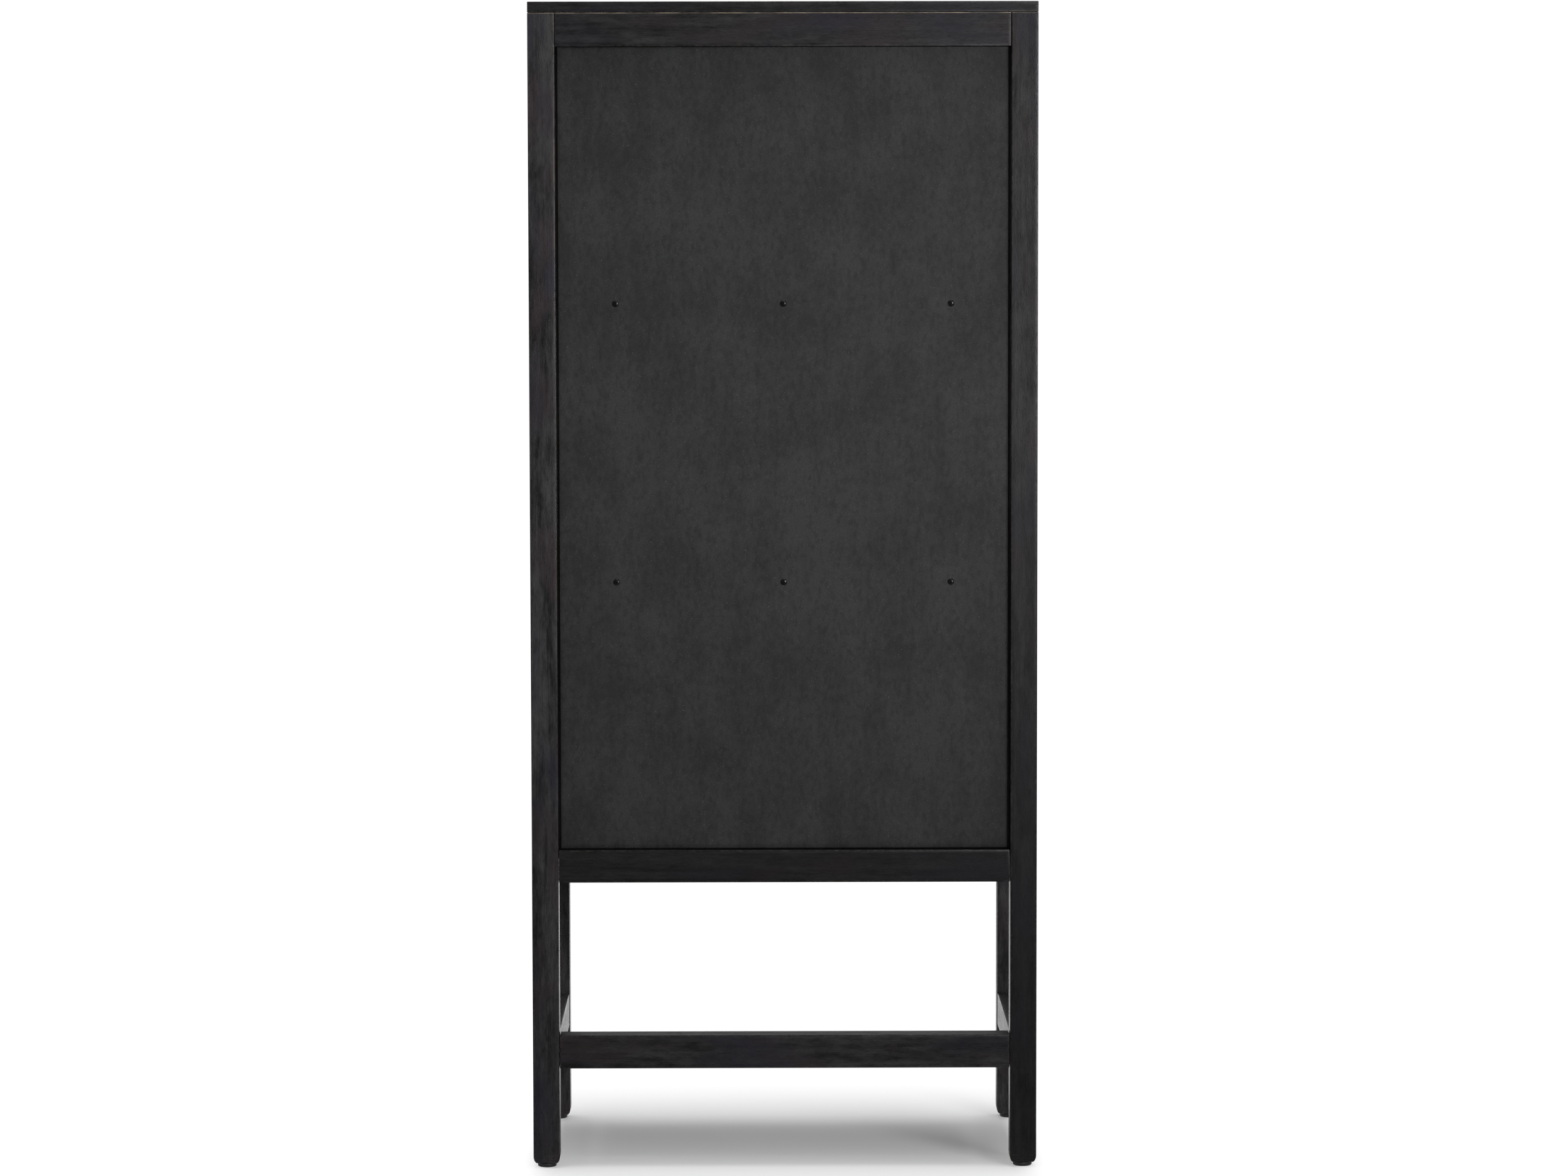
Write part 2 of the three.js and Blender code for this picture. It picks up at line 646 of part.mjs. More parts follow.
// The panel's outer long edges are rabbeted, which leaves a dark groove beside each post.
function backPanel() {
  const y = [INSIDE_BACK, BACK - BACK_RECESS];
  const bounds = {
    x: [-INNER_X + FIT, INNER_X - FIT],
    y,
    z: [FLOOR_TOP + FIT, TOP_RAIL_BOTTOM - FIT],
  };
  const groove = {
    x: [INNER_X - SHADOW_GAP, INNER_X + 1],
    y: [y[1] - SHADOW_GAP_DEPTH, y[1] + 1],
    z: [bounds.z[0] - 1, bounds.z[1] + 1],
  };
  const foot = { x: bounds.x, y: groove.y, z: [bounds.z[0] - 1, FLOOR_TOP + SHADOW_GAP / 2] };
  const grooves = [-1, 1].map((side) => ({ ...groove, x: mirrored(groove.x, side) }));
  const panel = withScrewHoles(joinery(bounds, [], [...grooves, foot]));
  return pieceAt("back_panel", panel, blackBoard(), [0, middle(y), middle(bounds.z)]);
}

// A double magnetic catch: it grips the back of the top rail and comes forward under it.
function doorCatch() {
  const x = around(0, CATCH_WIDTH);
  const railBack = FRONT + RAIL_THICKNESS + FIT;
  const body = {
    x,
    y: [railBack, railBack + CATCH_BODY],
    z: [TOP_RAIL_BOTTOM - CATCH_DROP, TOP_RAIL_BOTTOM + CATCH_GRIP],
  };
  const jaw = {
    x,
    y: [FRONT + DOOR_THICKNESS + CATCH_SPACE, railBack + 1],
    z: [body.z[0], TOP_RAIL_BOTTOM - FIT],
  };
  return boardPiece("door_catch", body, blackMetal(), [jaw]);
}

const topBoard = { x: [-OUTER_X, OUTER_X], y: [FRONT, BACK], z: [FRAME_TOP, HEIGHT] };
const corners = [
  ["front_left", -1, -1],
  ["front_right", 1, -1],
  ["rear_left", -1, 1],
  ["rear_right", 1, 1],
];
const sides = [
  ["left", -1],
  ["right", 1],
];

const cabinet = new THREE.Group();
cabinet.position.y = KNOB_REACH / 2;
cabinet.add(
  boardPiece("top_board", topBoard, blackWood()),
  backPanel(),
  drawerGrid(),
  doorCatch(),
  ...rails.map(({ name, bounds, tenons }) => boardPiece(name, bounds, blackWood(), tenons)),
  ...shelves.map(shelf),
  ...screwPlaces.map(({ name, place }) => turnedPiece(name, screwGeometry(), blackMetal(), place)),
  ...drawers,
);
for (const [name, side, face] of corners)
  cabinet.add(post(`${name}_post`, side, face), glide(`${name}_glide`, side, face));
for (const [name, side] of sides) {
  cabinet.add(sidePanel(`${name}_side_panel`, side), door(name, side));
  for (const [level, height] of Object.entries(hingeHeights))
    cabinet.add(postLeaf(`${name}_${level}_hinge_plate`, side, height));
}

const part = new THREE.Group();
part.add(cabinet);

export default part;
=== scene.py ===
"""The finished look of an apothecary cabinet, built board by board around its CAD frame.

Black-stained posts, rails and panels, a painted back, glazed doors and small drawers.
Left and right are as seen from the front, which faces -Y. Lengths are in metres.
"""

import itertools
import json
import math
import random

import bmesh
import bpy
from bpy.props import FloatProperty, FloatVectorProperty, PointerProperty
from bpy.types import Operator, Panel, PropertyGroup
from mathutils import Matrix, Vector


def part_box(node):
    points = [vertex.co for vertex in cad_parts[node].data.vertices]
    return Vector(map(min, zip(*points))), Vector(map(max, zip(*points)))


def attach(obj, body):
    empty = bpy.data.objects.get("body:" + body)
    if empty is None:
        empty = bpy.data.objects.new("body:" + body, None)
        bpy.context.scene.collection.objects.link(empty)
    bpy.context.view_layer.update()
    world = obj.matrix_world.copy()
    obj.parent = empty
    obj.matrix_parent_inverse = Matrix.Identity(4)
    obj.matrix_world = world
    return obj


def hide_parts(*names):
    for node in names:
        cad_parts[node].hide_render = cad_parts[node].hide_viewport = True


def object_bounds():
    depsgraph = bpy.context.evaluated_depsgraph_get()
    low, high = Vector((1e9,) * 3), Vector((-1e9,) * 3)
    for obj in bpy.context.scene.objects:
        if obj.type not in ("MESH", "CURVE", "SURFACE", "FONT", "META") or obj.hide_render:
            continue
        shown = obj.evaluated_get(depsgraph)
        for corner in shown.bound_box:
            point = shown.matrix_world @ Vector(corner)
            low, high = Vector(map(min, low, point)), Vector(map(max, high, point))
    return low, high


bl_info = {
    "name": "Apothecary Cabinet",
    "version": (1, 0, 0),
    "blender": (4, 5, 0),
    "location": "3D View > Sidebar > Cabinet",
    "description": "Builds the boards, doors, drawers and hardware of an apothecary cabinet",
    "category": "Object",
}

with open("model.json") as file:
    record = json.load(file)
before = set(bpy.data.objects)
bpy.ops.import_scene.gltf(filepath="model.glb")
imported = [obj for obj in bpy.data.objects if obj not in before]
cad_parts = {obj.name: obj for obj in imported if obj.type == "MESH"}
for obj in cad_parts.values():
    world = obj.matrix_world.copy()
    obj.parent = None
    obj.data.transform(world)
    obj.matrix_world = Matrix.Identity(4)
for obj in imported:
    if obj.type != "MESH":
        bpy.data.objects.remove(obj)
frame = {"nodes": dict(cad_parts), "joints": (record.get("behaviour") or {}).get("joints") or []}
CAD_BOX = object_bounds()

MM = 0.001
X, Y, Z = 0, 1, 2
LEFT, RIGHT = -1, 1
SIDES = (("left", LEFT), ("right", RIGHT))
LEVELS = ("lower", "upper")
COLUMNS = ("left", "middle", "right")

SEAM = 0.3 * MM  # glue line between two boards
JOINT = 0.9 * MM  # open joint between a rail and its posts
RAW_AND_HIGHLIGHT_BAND = 1.05 * MM  # pale band along the top of the frame: partly raw wood left by sanding, partly a painted highlight where its upper arris catches light
HIGHLIGHT_REACH = 1.1 * MM  # half width of the arris that gets a painted highlight, where it catches the side light
HIGHLIGHT_TOP = 0.74  # how strong that painted highlight is at its upper end
SHARP_ANGLE = math.radians(35)
ROUND_SEGMENTS = 3
WEAR_WIDTH = 5 * MM  # how far rubbing reaches in from an arris

PAST = 20 * MM  # how far a cutter reaches past what it cuts

FOOT_EASE = 6 * MM  # rounding at the foot of a post, sideways
FOOT_STRETCH = 2  # the same rounding is this much longer upwards

PANEL_SIDE_GROOVE = 4 * MM
PANEL_FOOT_GROOVE = 1.3 * MM
PANEL_FOOT_CHAMFER = 3 * MM
PANEL_FOOT_SLOPE = 0.9 * MM  # how far the chamfer leans in
RAIL_TOP_DROP = 3 * MM  # the rear bottom rail is planed a little narrow and sits low
RAIL_FOOT_DROP = 1.4 * MM
PANEL_GROOVE_DEPTH = 6 * MM

LIP_REACH = 7 * MM  # frame wood over the edge of the door's pane
BAR_HEIGHT = 22 * MM
BAR_DEPTH = 8 * MM
STICKING = 3 * MM  # chamfer round each light of a door
BEAD = 7 * MM  # section of the strips that hold the glass
GLASS_ROOM = 1 * MM

DRAWER_FRONT = 20 * MM
DRAWER_SIDE = 10 * MM
DRAWER_BASE = 6 * MM
DRAWER_RIM_DROP = 16 * MM
DRAWER_BASE_LIFT = 3 * MM
DRAWER_FRONT_LIFT = 1.5 * MM
DRAWER_BACK_DROP = 2 * MM  # the back is this much lower than the sides
DRAWER_BASE_SINK = 1 * MM  # the base reaches this far below its lift
FRONT_EASE, SIDE_EASE, BASE_EASE = 1.4 * MM, 1.2 * MM, 0.4 * MM
BEAD_EASE = 1.5 * MM

HOLDER_SIZE = (76 * MM, 40 * MM)
HOLDER_BORDER = 5 * MM
HOLDER_THICKNESS = 2.4 * MM
HOLDER_RISE = 34 * MM  # above the middle of the drawer front
HOLDER_TAB = 9 * MM
HOLDER_TAB_HALF = 6 * MM  # half the height of a tab
HOLDER_WALL = 1.5 * MM
HOLDER_SKIN = 0.9 * MM  # metal in front of the card
HOLDER_STAND = 0.15 * MM  # clear of the drawer's front
TAB_THICKNESS = 1 * MM
CARD_ROOM = 0.4 * MM
CARD_THICKNESS = 0.5 * MM

KNOB_STUD = 14 * MM
HINGE_HALF = 32 * MM  # half the length of a hinge
KNUCKLE_HALF = 11 * MM  # half the length of the door leaf's knuckle
KNUCKLE_GAP = 0.3 * MM
LEAF_NEAR, LEAF_FAR = 0.1 * MM, 1.9 * MM  # faces of a leaf, out from the pin's axis
BARREL_RADIUS, BARREL_BORE = 4 * MM, 2.3 * MM
PIN_RADIUS, PIN_TIP = 2 * MM, 3 * MM
LEAF_RECESS = 0.75 * MM  # depth of a leaf's recess in its stile

MAGNET_APART = 11.5 * MM  # from the middle of the catch to the middle of a magnet
MAGNET_HALF_WIDTH = 8 * MM
MAGNET_HALF_HEIGHT = 5 * MM
MAGNET_PROUD, MAGNET_SUNK = 0.2 * MM, 4 * MM
STRIKE_RADIUS = 7 * MM

LEAF_SCREWS = ((-0.36, 0.72), (0, 0.6), (0.36, 0.72))  # along and across, as shares
SCREW_SUNK = 0.25 * MM
HEAD_SHOULDER = 0.3  # straight side of a screw's head, as a share of its height
SLOT_ARM = (1.1, 0.22)  # length and width of a cross recess's arm, as shares of the radius
SLOT_TAPER = (0.3, 0.6)  # the same at its foot, as shares of those

TO_FRONT, TO_REAR = math.pi / 2, -math.pi / 2  # turns about X that lay an axis along Y

WHITE = 1.05  # radiance of the background that the camera sees
SHADE_FADE_IN, SHADE_FADE_OUT = 0.04, 0.03  # where the matt floor fades, from its half width
FLOOR_TURN = (-0.8, 0.4)  # Y where the floor's light turns from its front to its rear level
FLOOR_FAR = (1.0, 1.8)  # distance to the side where it turns to the surroundings' light
WORLD_TURN = (-0.3, 0.3)  # the same turn for the surroundings, in a direction's Y
FLOOR_REACH = 60

# Painted shade, from the lower or left end of a board to its other end: boards that catch less
# light or sheen are darkened, and lower ends darker where the light falls off
EVEN = (0.0, 0.0)
PAINTED_SHADE_ENDS = {
    "rear_left_post": (0.9, 0.38),
    "rear_right_post": (0.2, 0.0),
    "top_board": (0.55, 0.55),
    "rear_top_rail": (0.45, 0.45),
    "rear_bottom_rail": (0.9, 0.9),
    "rear_stretcher": (0.4, 0.4),
    "front_bottom_rail": (0.2, 0.2),
}

rng = random.Random(7)


# ---- Shader maths -------------------------------------------------------------------------


def math_method(operation, reflected=False):
    """An operator method that adds a Math node."""

    def method(self, other):
        pair = (other, self) if reflected else (self, other)
        return self.sheet.number(operation, *pair)

    return method


class Signal:
    """An output socket that Python's operators join to Math nodes."""

    def __init__(self, sheet, socket):
        self.sheet = sheet
        self.socket = socket

    __add__, __radd__ = math_method("ADD"), math_method("ADD", reflected=True)
    __sub__, __rsub__ = math_method("SUBTRACT"), math_method("SUBTRACT", reflected=True)
    __mul__, __rmul__ = math_method("MULTIPLY"), math_method("MULTIPLY", reflected=True)
    __pow__ = math_method("POWER")


class Sheet:
    """The nodes of one material or world."""

    # Numbers of the nodes' outputs that are used besides the first
    ATTRIBUTE_VECTOR, ATTRIBUTE_NUMBER = 1, 2
    MIXED_COLOUR = 2
    OBJECT_PLACE = 3
    IN_MIRROR = 4
    BACK_FACING = 6

    def __init__(self, owner):
        owner.use_nodes = True
        self.tree = owner.node_tree
        self.tree.nodes.clear()

    def add(self, kind, settings=None, inputs=None, output=0):
        """Adds a node, applies its settings, then its sockets' values or links."""
        node = self.tree.nodes.new(kind)
        for name, value in (settings or {}).items():
            if name == "stops":
                self._set_ramp(node.color_ramp, value)
            else:
                setattr(node, name, value)
        for name, value in (inputs or {}).items():
            socket = next(s for s in node.inputs if name in (s.identifier, s.name) and s.enabled)
            if isinstance(value, Signal):
                self.tree.links.new(value.socket, socket)
            else:
                socket.default_value = value
        if not node.outputs:
            return node
        return Signal(self, node.outputs[output])

    @staticmethod
    def _set_ramp(ramp, stops):
        while len(ramp.elements) < len(stops):
            ramp.elements.new(1.0)
        for element, (place, level) in zip(ramp.elements, stops):
            element.position = place
            element.color = (level, level, level, 1)

    def number(self, operation, first, second=None):
        inputs = {"Value": first}
        if second is not None:
            inputs["Value_001"] = second
        return self.add("ShaderNodeMath", {"operation": operation}, inputs)

    def ramp(self, value, *stops):
        return self.add("ShaderNodeValToRGB", {"stops": stops}, {"Fac": value})

    def ease(self, value, start, stop):
        """A smooth climb from 0 at start to 1 at stop."""
        inputs = {"Value": value, "From Min": start, "From Max": stop}
        return self.add("ShaderNodeMapRange", {"interpolation_type": "SMOOTHSTEP"}, inputs)

    def mask(self, value, start, stop):
        """A straight climb from 0 at start to 1 at stop."""
        return self.ramp(value, (start, 0.0), (stop, 1.0))

    def component(self, vector, axis):
        return self.add("ShaderNodeSeparateXYZ", {}, {"Vector": vector}, axis)

    def place(self):
        """The object's own coordinates."""
        return self.add("ShaderNodeTexCoord", output=self.OBJECT_PLACE)

    def attribute(self, name, output=ATTRIBUTE_NUMBER):
        return self.add("ShaderNodeAttribute", {"attribute_name": name}, output=output)

    def noise(self, vector, scale, detail=2.0, roughness=0.5, distortion=0.0):
        inputs = {"Vector": vector, "Scale": scale, "Detail": detail}
        inputs |= {"Roughness": roughness, "Distortion": distortion}
        return self.add("ShaderNodeTexNoise", {}, inputs)

    def stretched_noise(self, vector, scales, detail=2.0, roughness=0.5, distortion=0.0):
        """Noise with a scale of its own along each axis."""
        inputs = {"Vector": vector, "Vector_001": scales}
        stretched = self.add("ShaderNodeVectorMath", {"operation": "MULTIPLY"}, inputs)
        return self.noise(stretched, 1.0, detail, roughness, distortion)

    def mixed(self, factor, first, second, mode="MIX"):
        settings = {"data_type": "RGBA", "blend_type": mode}
        inputs = {"Factor_Float": factor, "A_Color": first, "B_Color": second}
        return self.add("ShaderNodeMix", settings, inputs, self.MIXED_COLOUR)

    def bump(self, height, distance, strength=1.0):
        inputs = {"Height": height, "Distance": distance, "Strength": strength}
        return self.add("ShaderNodeBump", {}, inputs)

    def surface(self, **sockets):
        """Ends a material in a Principled shader. Socket names have _ for a space."""
        inputs = {name.replace("_", " "): value for name, value in sockets.items()}
        shader = self.add("ShaderNodeBsdfPrincipled", {}, inputs)
        self.add("ShaderNodeOutputMaterial", {}, {"Surface": shader})


def new_material(name):
    material = bpy.data.materials.new(name)
    return material, Sheet(material)


def rgba(colour, factor=1.0):
    return (*(channel * factor for channel in colour), 1.0)


# ---- Materials ----------------------------------------------------------------------------


def stained_wood(wood):
    """Open-grained hardwood under a black stain: fibres, pores and slow bands along the board."""
    material, sheet = new_material("black_stained_wood")
    grain = sheet.attribute("grain", sheet.ATTRIBUTE_VECTOR)
    arris = sheet.attribute("arris")
    # Painted shade, stored per vertex, darkens the board below
    painted_shade = sheet.attribute("stain")

    bands = sheet.stretched_noise(grain, (2.5, 45, 45), 4.0, 0.6, 0.8)
    mottle = sheet.stretched_noise(grain, (26, 85, 85), 4.0, 0.65)
    streaks = sheet.stretched_noise(grain, (16, 360, 360), 3.0, 0.6, 0.4)
    fibres = sheet.stretched_noise(grain, (90, 1000, 1000), 3.0, 0.65)
    pores = sheet.stretched_noise(grain, (110, 1000, 1000), 1.0, 0.5)
    patches = sheet.stretched_noise(grain, (9, 24, 24), 3.0, 0.55)
    clouds = sheet.stretched_noise(grain, (5, 14, 14), 3.0, 0.55)

    band_mask = sheet.mask(bands, 0.38, 0.62)
    mottle_mask = sheet.mask(mottle, 0.36, 0.64)
    streak_mask = sheet.mask(streaks, 0.36, 0.64)
    fibre_mask = sheet.mask(fibres, 0.34, 0.66)
    pore_mask = sheet.mask(pores, 0.60, 0.70)

    lightness = 0.3 * band_mask + 0.35 * mottle_mask + 0.15 * streak_mask + 0.2 * fibre_mask
    lightness = sheet.mask(lightness, 0.2, 0.8)
    stain = sheet.mixed(lightness, rgba(wood.stain_dark), rgba(wood.stain_light))
    warm = sheet.mask(patches, 0.52, 0.64)
    stain = sheet.mixed(0.5 * warm, stain, rgba(wood.stain_warm))
    cool = sheet.mask(clouds, 0.50, 0.62)
    stain = sheet.mixed(0.55 * cool, stain, rgba(wood.stain_cool))
    stain = sheet.mixed(0.6 * pore_mask, stain, rgba(wood.stain_dark, 0.3))
    # Painted shade: the board is multiplied towards this grey as far as its painted shade reaches
    painted_shade = sheet.ramp(painted_shade, (0.0, 0.0), (0.42, 0.42), (0.6, 0.68), (0.72, 0.83), (0.8, 0.9))
    stain = sheet.mixed(painted_shade, stain, (0.2, 0.2, 0.21, 1), "MULTIPLY")

    rub = sheet.noise(grain, 160.0, 3.0, 0.65)
    rubbed = (arris**3.0) * sheet.mask(rub, 0.45, 0.75) * wood.wear
    stain = sheet.mixed(rubbed, stain, rgba(wood.bare_wood))

    # A pale line along the top of the frame, partly raw wood and partly a painted highlight, and
    # the painted highlight up one post's arris
    raw = sheet.attribute("raw")
    patchy = sheet.ramp(sheet.noise(grain, 30.0, 3.0, 0.6), (0.38, 0.25), (0.62, 1.0))
    stain = sheet.mixed(raw**4.0 * patchy * wood.raw_and_highlight_strength, stain, rgba(wood.raw_wood_and_highlight))

    roughness = wood.roughness + 0.08 * fibre_mask - 0.06 * mottle_mask + 0.12 * pore_mask
    roughness = roughness - 0.12 * arris**4.0
    relief = 0.5 * fibre_mask + 0.25 * streak_mask - 0.8 * pore_mask
    normal = sheet.bump(relief, wood.grain_relief, 0.8)
    sheet.surface(
        Base_Color=stain,
        Roughness=roughness,
        Normal=normal,
        Specular_IOR_Level=wood.sheen,
    )
    return material


def painted_board(paint):
    """Pressed fibreboard under thin grey-black paint, with a fine woven print and stray fibres."""
    material, sheet = new_material("painted_fibreboard")
    place = sheet.place()
    flecks = sheet.noise(place, 600.0, 2.0, 0.6)
    weave = sheet.stretched_noise(place, (1300, 1300, 330), 2.0, 0.5)
    weft = sheet.stretched_noise(place, (330, 1300, 1300), 2.0, 0.5)
    clouds = sheet.noise(place, 7.0, 3.0, 0.6)
    mottle = sheet.stretched_noise(place, (130, 130, 75), 4.0, 0.7)
    strokes = sheet.stretched_noise(place, (34, 34, 8), 3.0, 0.6)

    fleck_mask = sheet.mask(flecks, 0.66, 0.74)
    cloth = 0.5 * weave + 0.5 * weft
    tone = sheet.mask(0.45 * clouds + 0.25 * strokes + 0.3 * mottle, 0.42, 0.58)
    colour = sheet.mixed(tone, rgba(paint.colour, 0.72), rgba(paint.colour, 1.28))
    fine = sheet.ramp(mottle, (0.32, 0.4), (0.5, 0.0))
    colour = sheet.mixed(fine, colour, rgba(paint.colour, 0.35))
    dip = sheet.ramp(cloth, (0.42, 0.4), (0.54, 0.0))
    colour = sheet.mixed(dip, colour, rgba(paint.colour, 0.3))
    colour = sheet.mixed(0.8 * fleck_mask, colour, rgba(paint.fleck))
    normal = sheet.bump(cloth + 0.5 * fleck_mask, paint.relief, 0.7)
    sheet.surface(
        Base_Color=colour,
        Roughness=paint.roughness + 0.1 * cloth,
        Normal=normal,
        Specular_IOR_Level=paint.sheen,
    )
    return material


def patinated_metal(name, colour, lighter, roughness):
    """Dark metal with a clouded patina, brushed through in places."""
    material, sheet = new_material(name)
    place = sheet.place()
    clouds = sheet.noise(place, 90.0, 4.0, 0.6)
    specks = sheet.noise(place, 900.0, 2.0, 0.5)
    thin = sheet.mask(clouds, 0.48, 0.75)
    shade = sheet.mixed(0.6 * thin, rgba(colour), rgba(lighter))
    shade = sheet.mixed(sheet.ramp(specks, (0.6, 0.0), (0.75, 0.6)), shade, rgba(colour, 0.4))
    sheet.surface(
        Base_Color=shade,
        Metallic=0.9,
        Roughness=roughness + 0.18 * specks - 0.1 * thin,
        Normal=sheet.bump(specks + clouds, 0.05 * MM, 0.5),
    )
    return material


def moulded_plastic():
    """Black nylon with the faint orange peel of its mould."""
    material, sheet = new_material("moulded_nylon")
    place = sheet.place()
    peel = sheet.noise(place, 700.0, 2.0, 0.5)
    scuffs = sheet.mask(sheet.noise(place, 120.0, 4.0, 0.7), 0.5, 0.8)
    colour = sheet.mixed(0.5 * scuffs, (0.003, 0.003, 0.003, 1), (0.015, 0.015, 0.015, 1))
    sheet.surface(
        Base_Color=colour,
        Roughness=0.45 + 0.25 * scuffs,
        Normal=sheet.bump(peel, 0.05 * MM, 0.5),
    )
    return material


def window_glass():
    """A thin clear pane: it shows what is behind it and mirrors more towards its edge."""
    material, sheet = new_material("window_glass")
    place = sheet.place()
    ripple = sheet.bump(sheet.noise(place, 7.0, 1.0, 0.4), 0.4 * MM, 0.15)
    inside = sheet.add("ShaderNodeNewGeometry", output=sheet.BACK_FACING)
    fresnel = sheet.add("ShaderNodeFresnel", {}, {"IOR": 1.45, "Normal": ripple})
    share = (0.05 + 0.9 * fresnel) * (1 - inside)
    clear = sheet.add("ShaderNodeBsdfTransparent", {}, {"Color": (0.93, 0.96, 0.95, 1)})
    gloss_inputs = {"Color": (1, 1, 1, 1), "Roughness": 0.0, "Normal": ripple}
    gloss = sheet.add("ShaderNodeBsdfAnisotropic", {}, gloss_inputs)
    shaders = {"Shader": clear, "Shader_001": gloss}
    pane = sheet.add("ShaderNodeMixShader", {}, {"Fac": share, **shaders})
    sheet.add("ShaderNodeOutputMaterial", {}, {"Surface": pane})
    return material


def card_stock():
    """A blank cream card with paper fibres."""
    material, sheet = new_material("card_stock")
    place = sheet.place()
    fibres = sheet.stretched_noise(place, (300, 900, 700), 4.0, 0.65)
    age = sheet.noise(place, 30.0, 3.0, 0.6)
    colour = sheet.mixed(age, (0.62, 0.55, 0.42, 1), (0.74, 0.69, 0.57, 1))
    strands = sheet.ramp(fibres, (0.62, 0.0), (0.72, 0.4))
    colour = sheet.mixed(strands, colour, (0.42, 0.35, 0.25, 1))
    sheet.surface(Base_Color=colour, Roughness=0.85, Normal=sheet.bump(fibres, 0.04 * MM))
    return material


_made = {}


def material_for(slot):
    """The material of a record slot, made once."""
    settings = bpy.context.scene.cabinet
    makers = {
        "black_wood": lambda: stained_wood(settings.wood),
        "black_board": lambda: painted_board(settings.paint),
        "dark_metal": lambda: patinated_metal(
            "bronzed_metal", settings.hardware.bronze, settings.hardware.rubbed_bronze, 0.34
        ),
        "black_metal": lambda: patinated_metal(
            "black_oxide", settings.hardware.oxide, settings.hardware.bare_oxide, 0.2
        ),
        "black_plastic": moulded_plastic,
        "clear_glass": window_glass,
        "card": card_stock,
    }
    if slot not in _made:
        _made[slot] = makers[slot]()
    return _made[slot]


# ---- Pieces -------------------------------------------------------------------------------


def settle(piece, body, slot, replaces=()):
    """Gives a finished piece its material, its body and the CAD nodes it stands for."""
    piece.data.materials.clear()
    piece.data.materials.append(material_for(slot))
    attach(piece, body)
    if replaces:
        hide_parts(*replaces)
    return piece


def piece_from(bm, name, place=(0, 0, 0)):
    bmesh.ops.recalc_face_normals(bm, faces=bm.faces)
    mesh = bpy.data.meshes.new(name)
    bm.to_mesh(mesh)
    bm.free()
    piece = bpy.data.objects.new(name, mesh)
    piece.location = place
    bpy.context.scene.collection.objects.link(piece)
    return piece


def block(low, high, cuts=()):
    """A block between two corners, with smaller blocks cut out of it."""
    marks = []
    for axis in range(3):
        levels = {low[axis], high[axis]}
        for cut in cuts:
            levels |= {corner[axis] for corner in cut if low[axis] < corner[axis] < high[axis]}
        marks.append(sorted(levels))

    def filled(cell):
        if any(not 0 <= i < len(levels) - 1 for i, levels in zip(cell, marks)):
            return False
        centre = [(levels[i] + levels[i + 1]) / 2 for i, levels in zip(cell, marks)]
        return not any(
            all(a < c < b for a, c, b in zip(cut_low, centre, cut_high))
            for cut_low, cut_high in cuts
        )

    bm = bmesh.new()
    corners = {}

    def corner(index):
        if index not in corners:
            corners[index] = bm.verts.new([levels[i] for i, levels in zip(index, marks)])
        return corners[index]

    cells = itertools.product(*(range(len(levels) - 1) for levels in marks))
    for cell, axis, end in itertools.product(cells, range(3), (0, 1)):
        beside = list(cell)
        beside[axis] += 1 if end else -1
        if not filled(cell) or filled(beside):
            continue
        across, along = (axis + 1) % 3, (axis + 2) % 3
        loop = []
        for step_across, step_along in ((0, 0), (1, 0), (1, 1), (0, 1)):
            index = list(cell)
            index[axis] += end
            index[across] += step_across
            index[along] += step_along
            loop.append(corner(tuple(index)))
        bm.faces.new(loop if end else loop[::-1])
    bmesh.ops.dissolve_limit(bm, angle_limit=0.01, verts=bm.verts, edges=bm.edges)
    return bm


def ease_edges(bm, round_over):
    """Rounds every sharp edge, then rings each flat face, so that wear can fade in from it."""
    sharp = [e for e in bm.edges if e.is_manifold and e.calc_face_angle() > SHARP_ANGLE]
    how = {"offset_type": "OFFSET", "segments": ROUND_SEGMENTS, "profile": 0.5}
    how |= {"affect": "EDGES", "clamp_overlap": True}
    rounded = set(bmesh.ops.bevel(bm, geom=sharp, offset=round_over, **how)["faces"])
    flats = [f for f in bm.faces if f not in rounded]
    arris = bm.verts.layers.float.new("arris")
    for vert in bm.verts:
        vert[arris] = 1.0
    for face in flats:
        narrow = 2 * face.calc_area() / max(face.calc_perimeter(), MM)
        ring = min(WEAR_WIDTH, 0.4 * narrow)
        if ring < 0.3 * MM:
            continue
        bmesh.ops.inset_individual(bm, faces=[face], thickness=ring, use_even_offset=True)
        for vert in face.verts:
            vert[arris] = 0.0
    smooth(bm)


def smooth(bm):
    for face in bm.faces:
        face.smooth = True


def eased_block(low, high, round_over, cuts=(), shape=None, centre=None):
    """A block with rounded edges about its centre, and the place of that centre."""
    if centre is None:
        centre = (Vector(low) + Vector(high)) / 2
    bm = block(low, high, cuts)
    bmesh.ops.translate(bm, verts=bm.verts, vec=-centre)
    if shape:
        shape(bm)
    ease_edges(bm, round_over)
    return bm, centre


def eased_piece(name, *corners_and_rounding, **extra):
    bm, centre = eased_block(*corners_and_rounding, **extra)
    return piece_from(bm, name, centre)


def slice_level(bm, height):
    """Adds edges where the mesh meets a level plane."""
    geometry = [*bm.verts, *bm.edges, *bm.faces]
    bmesh.ops.bisect_plane(bm, geom=geometry, plane_co=(0, 0, height), plane_no=(0, 0, 1))


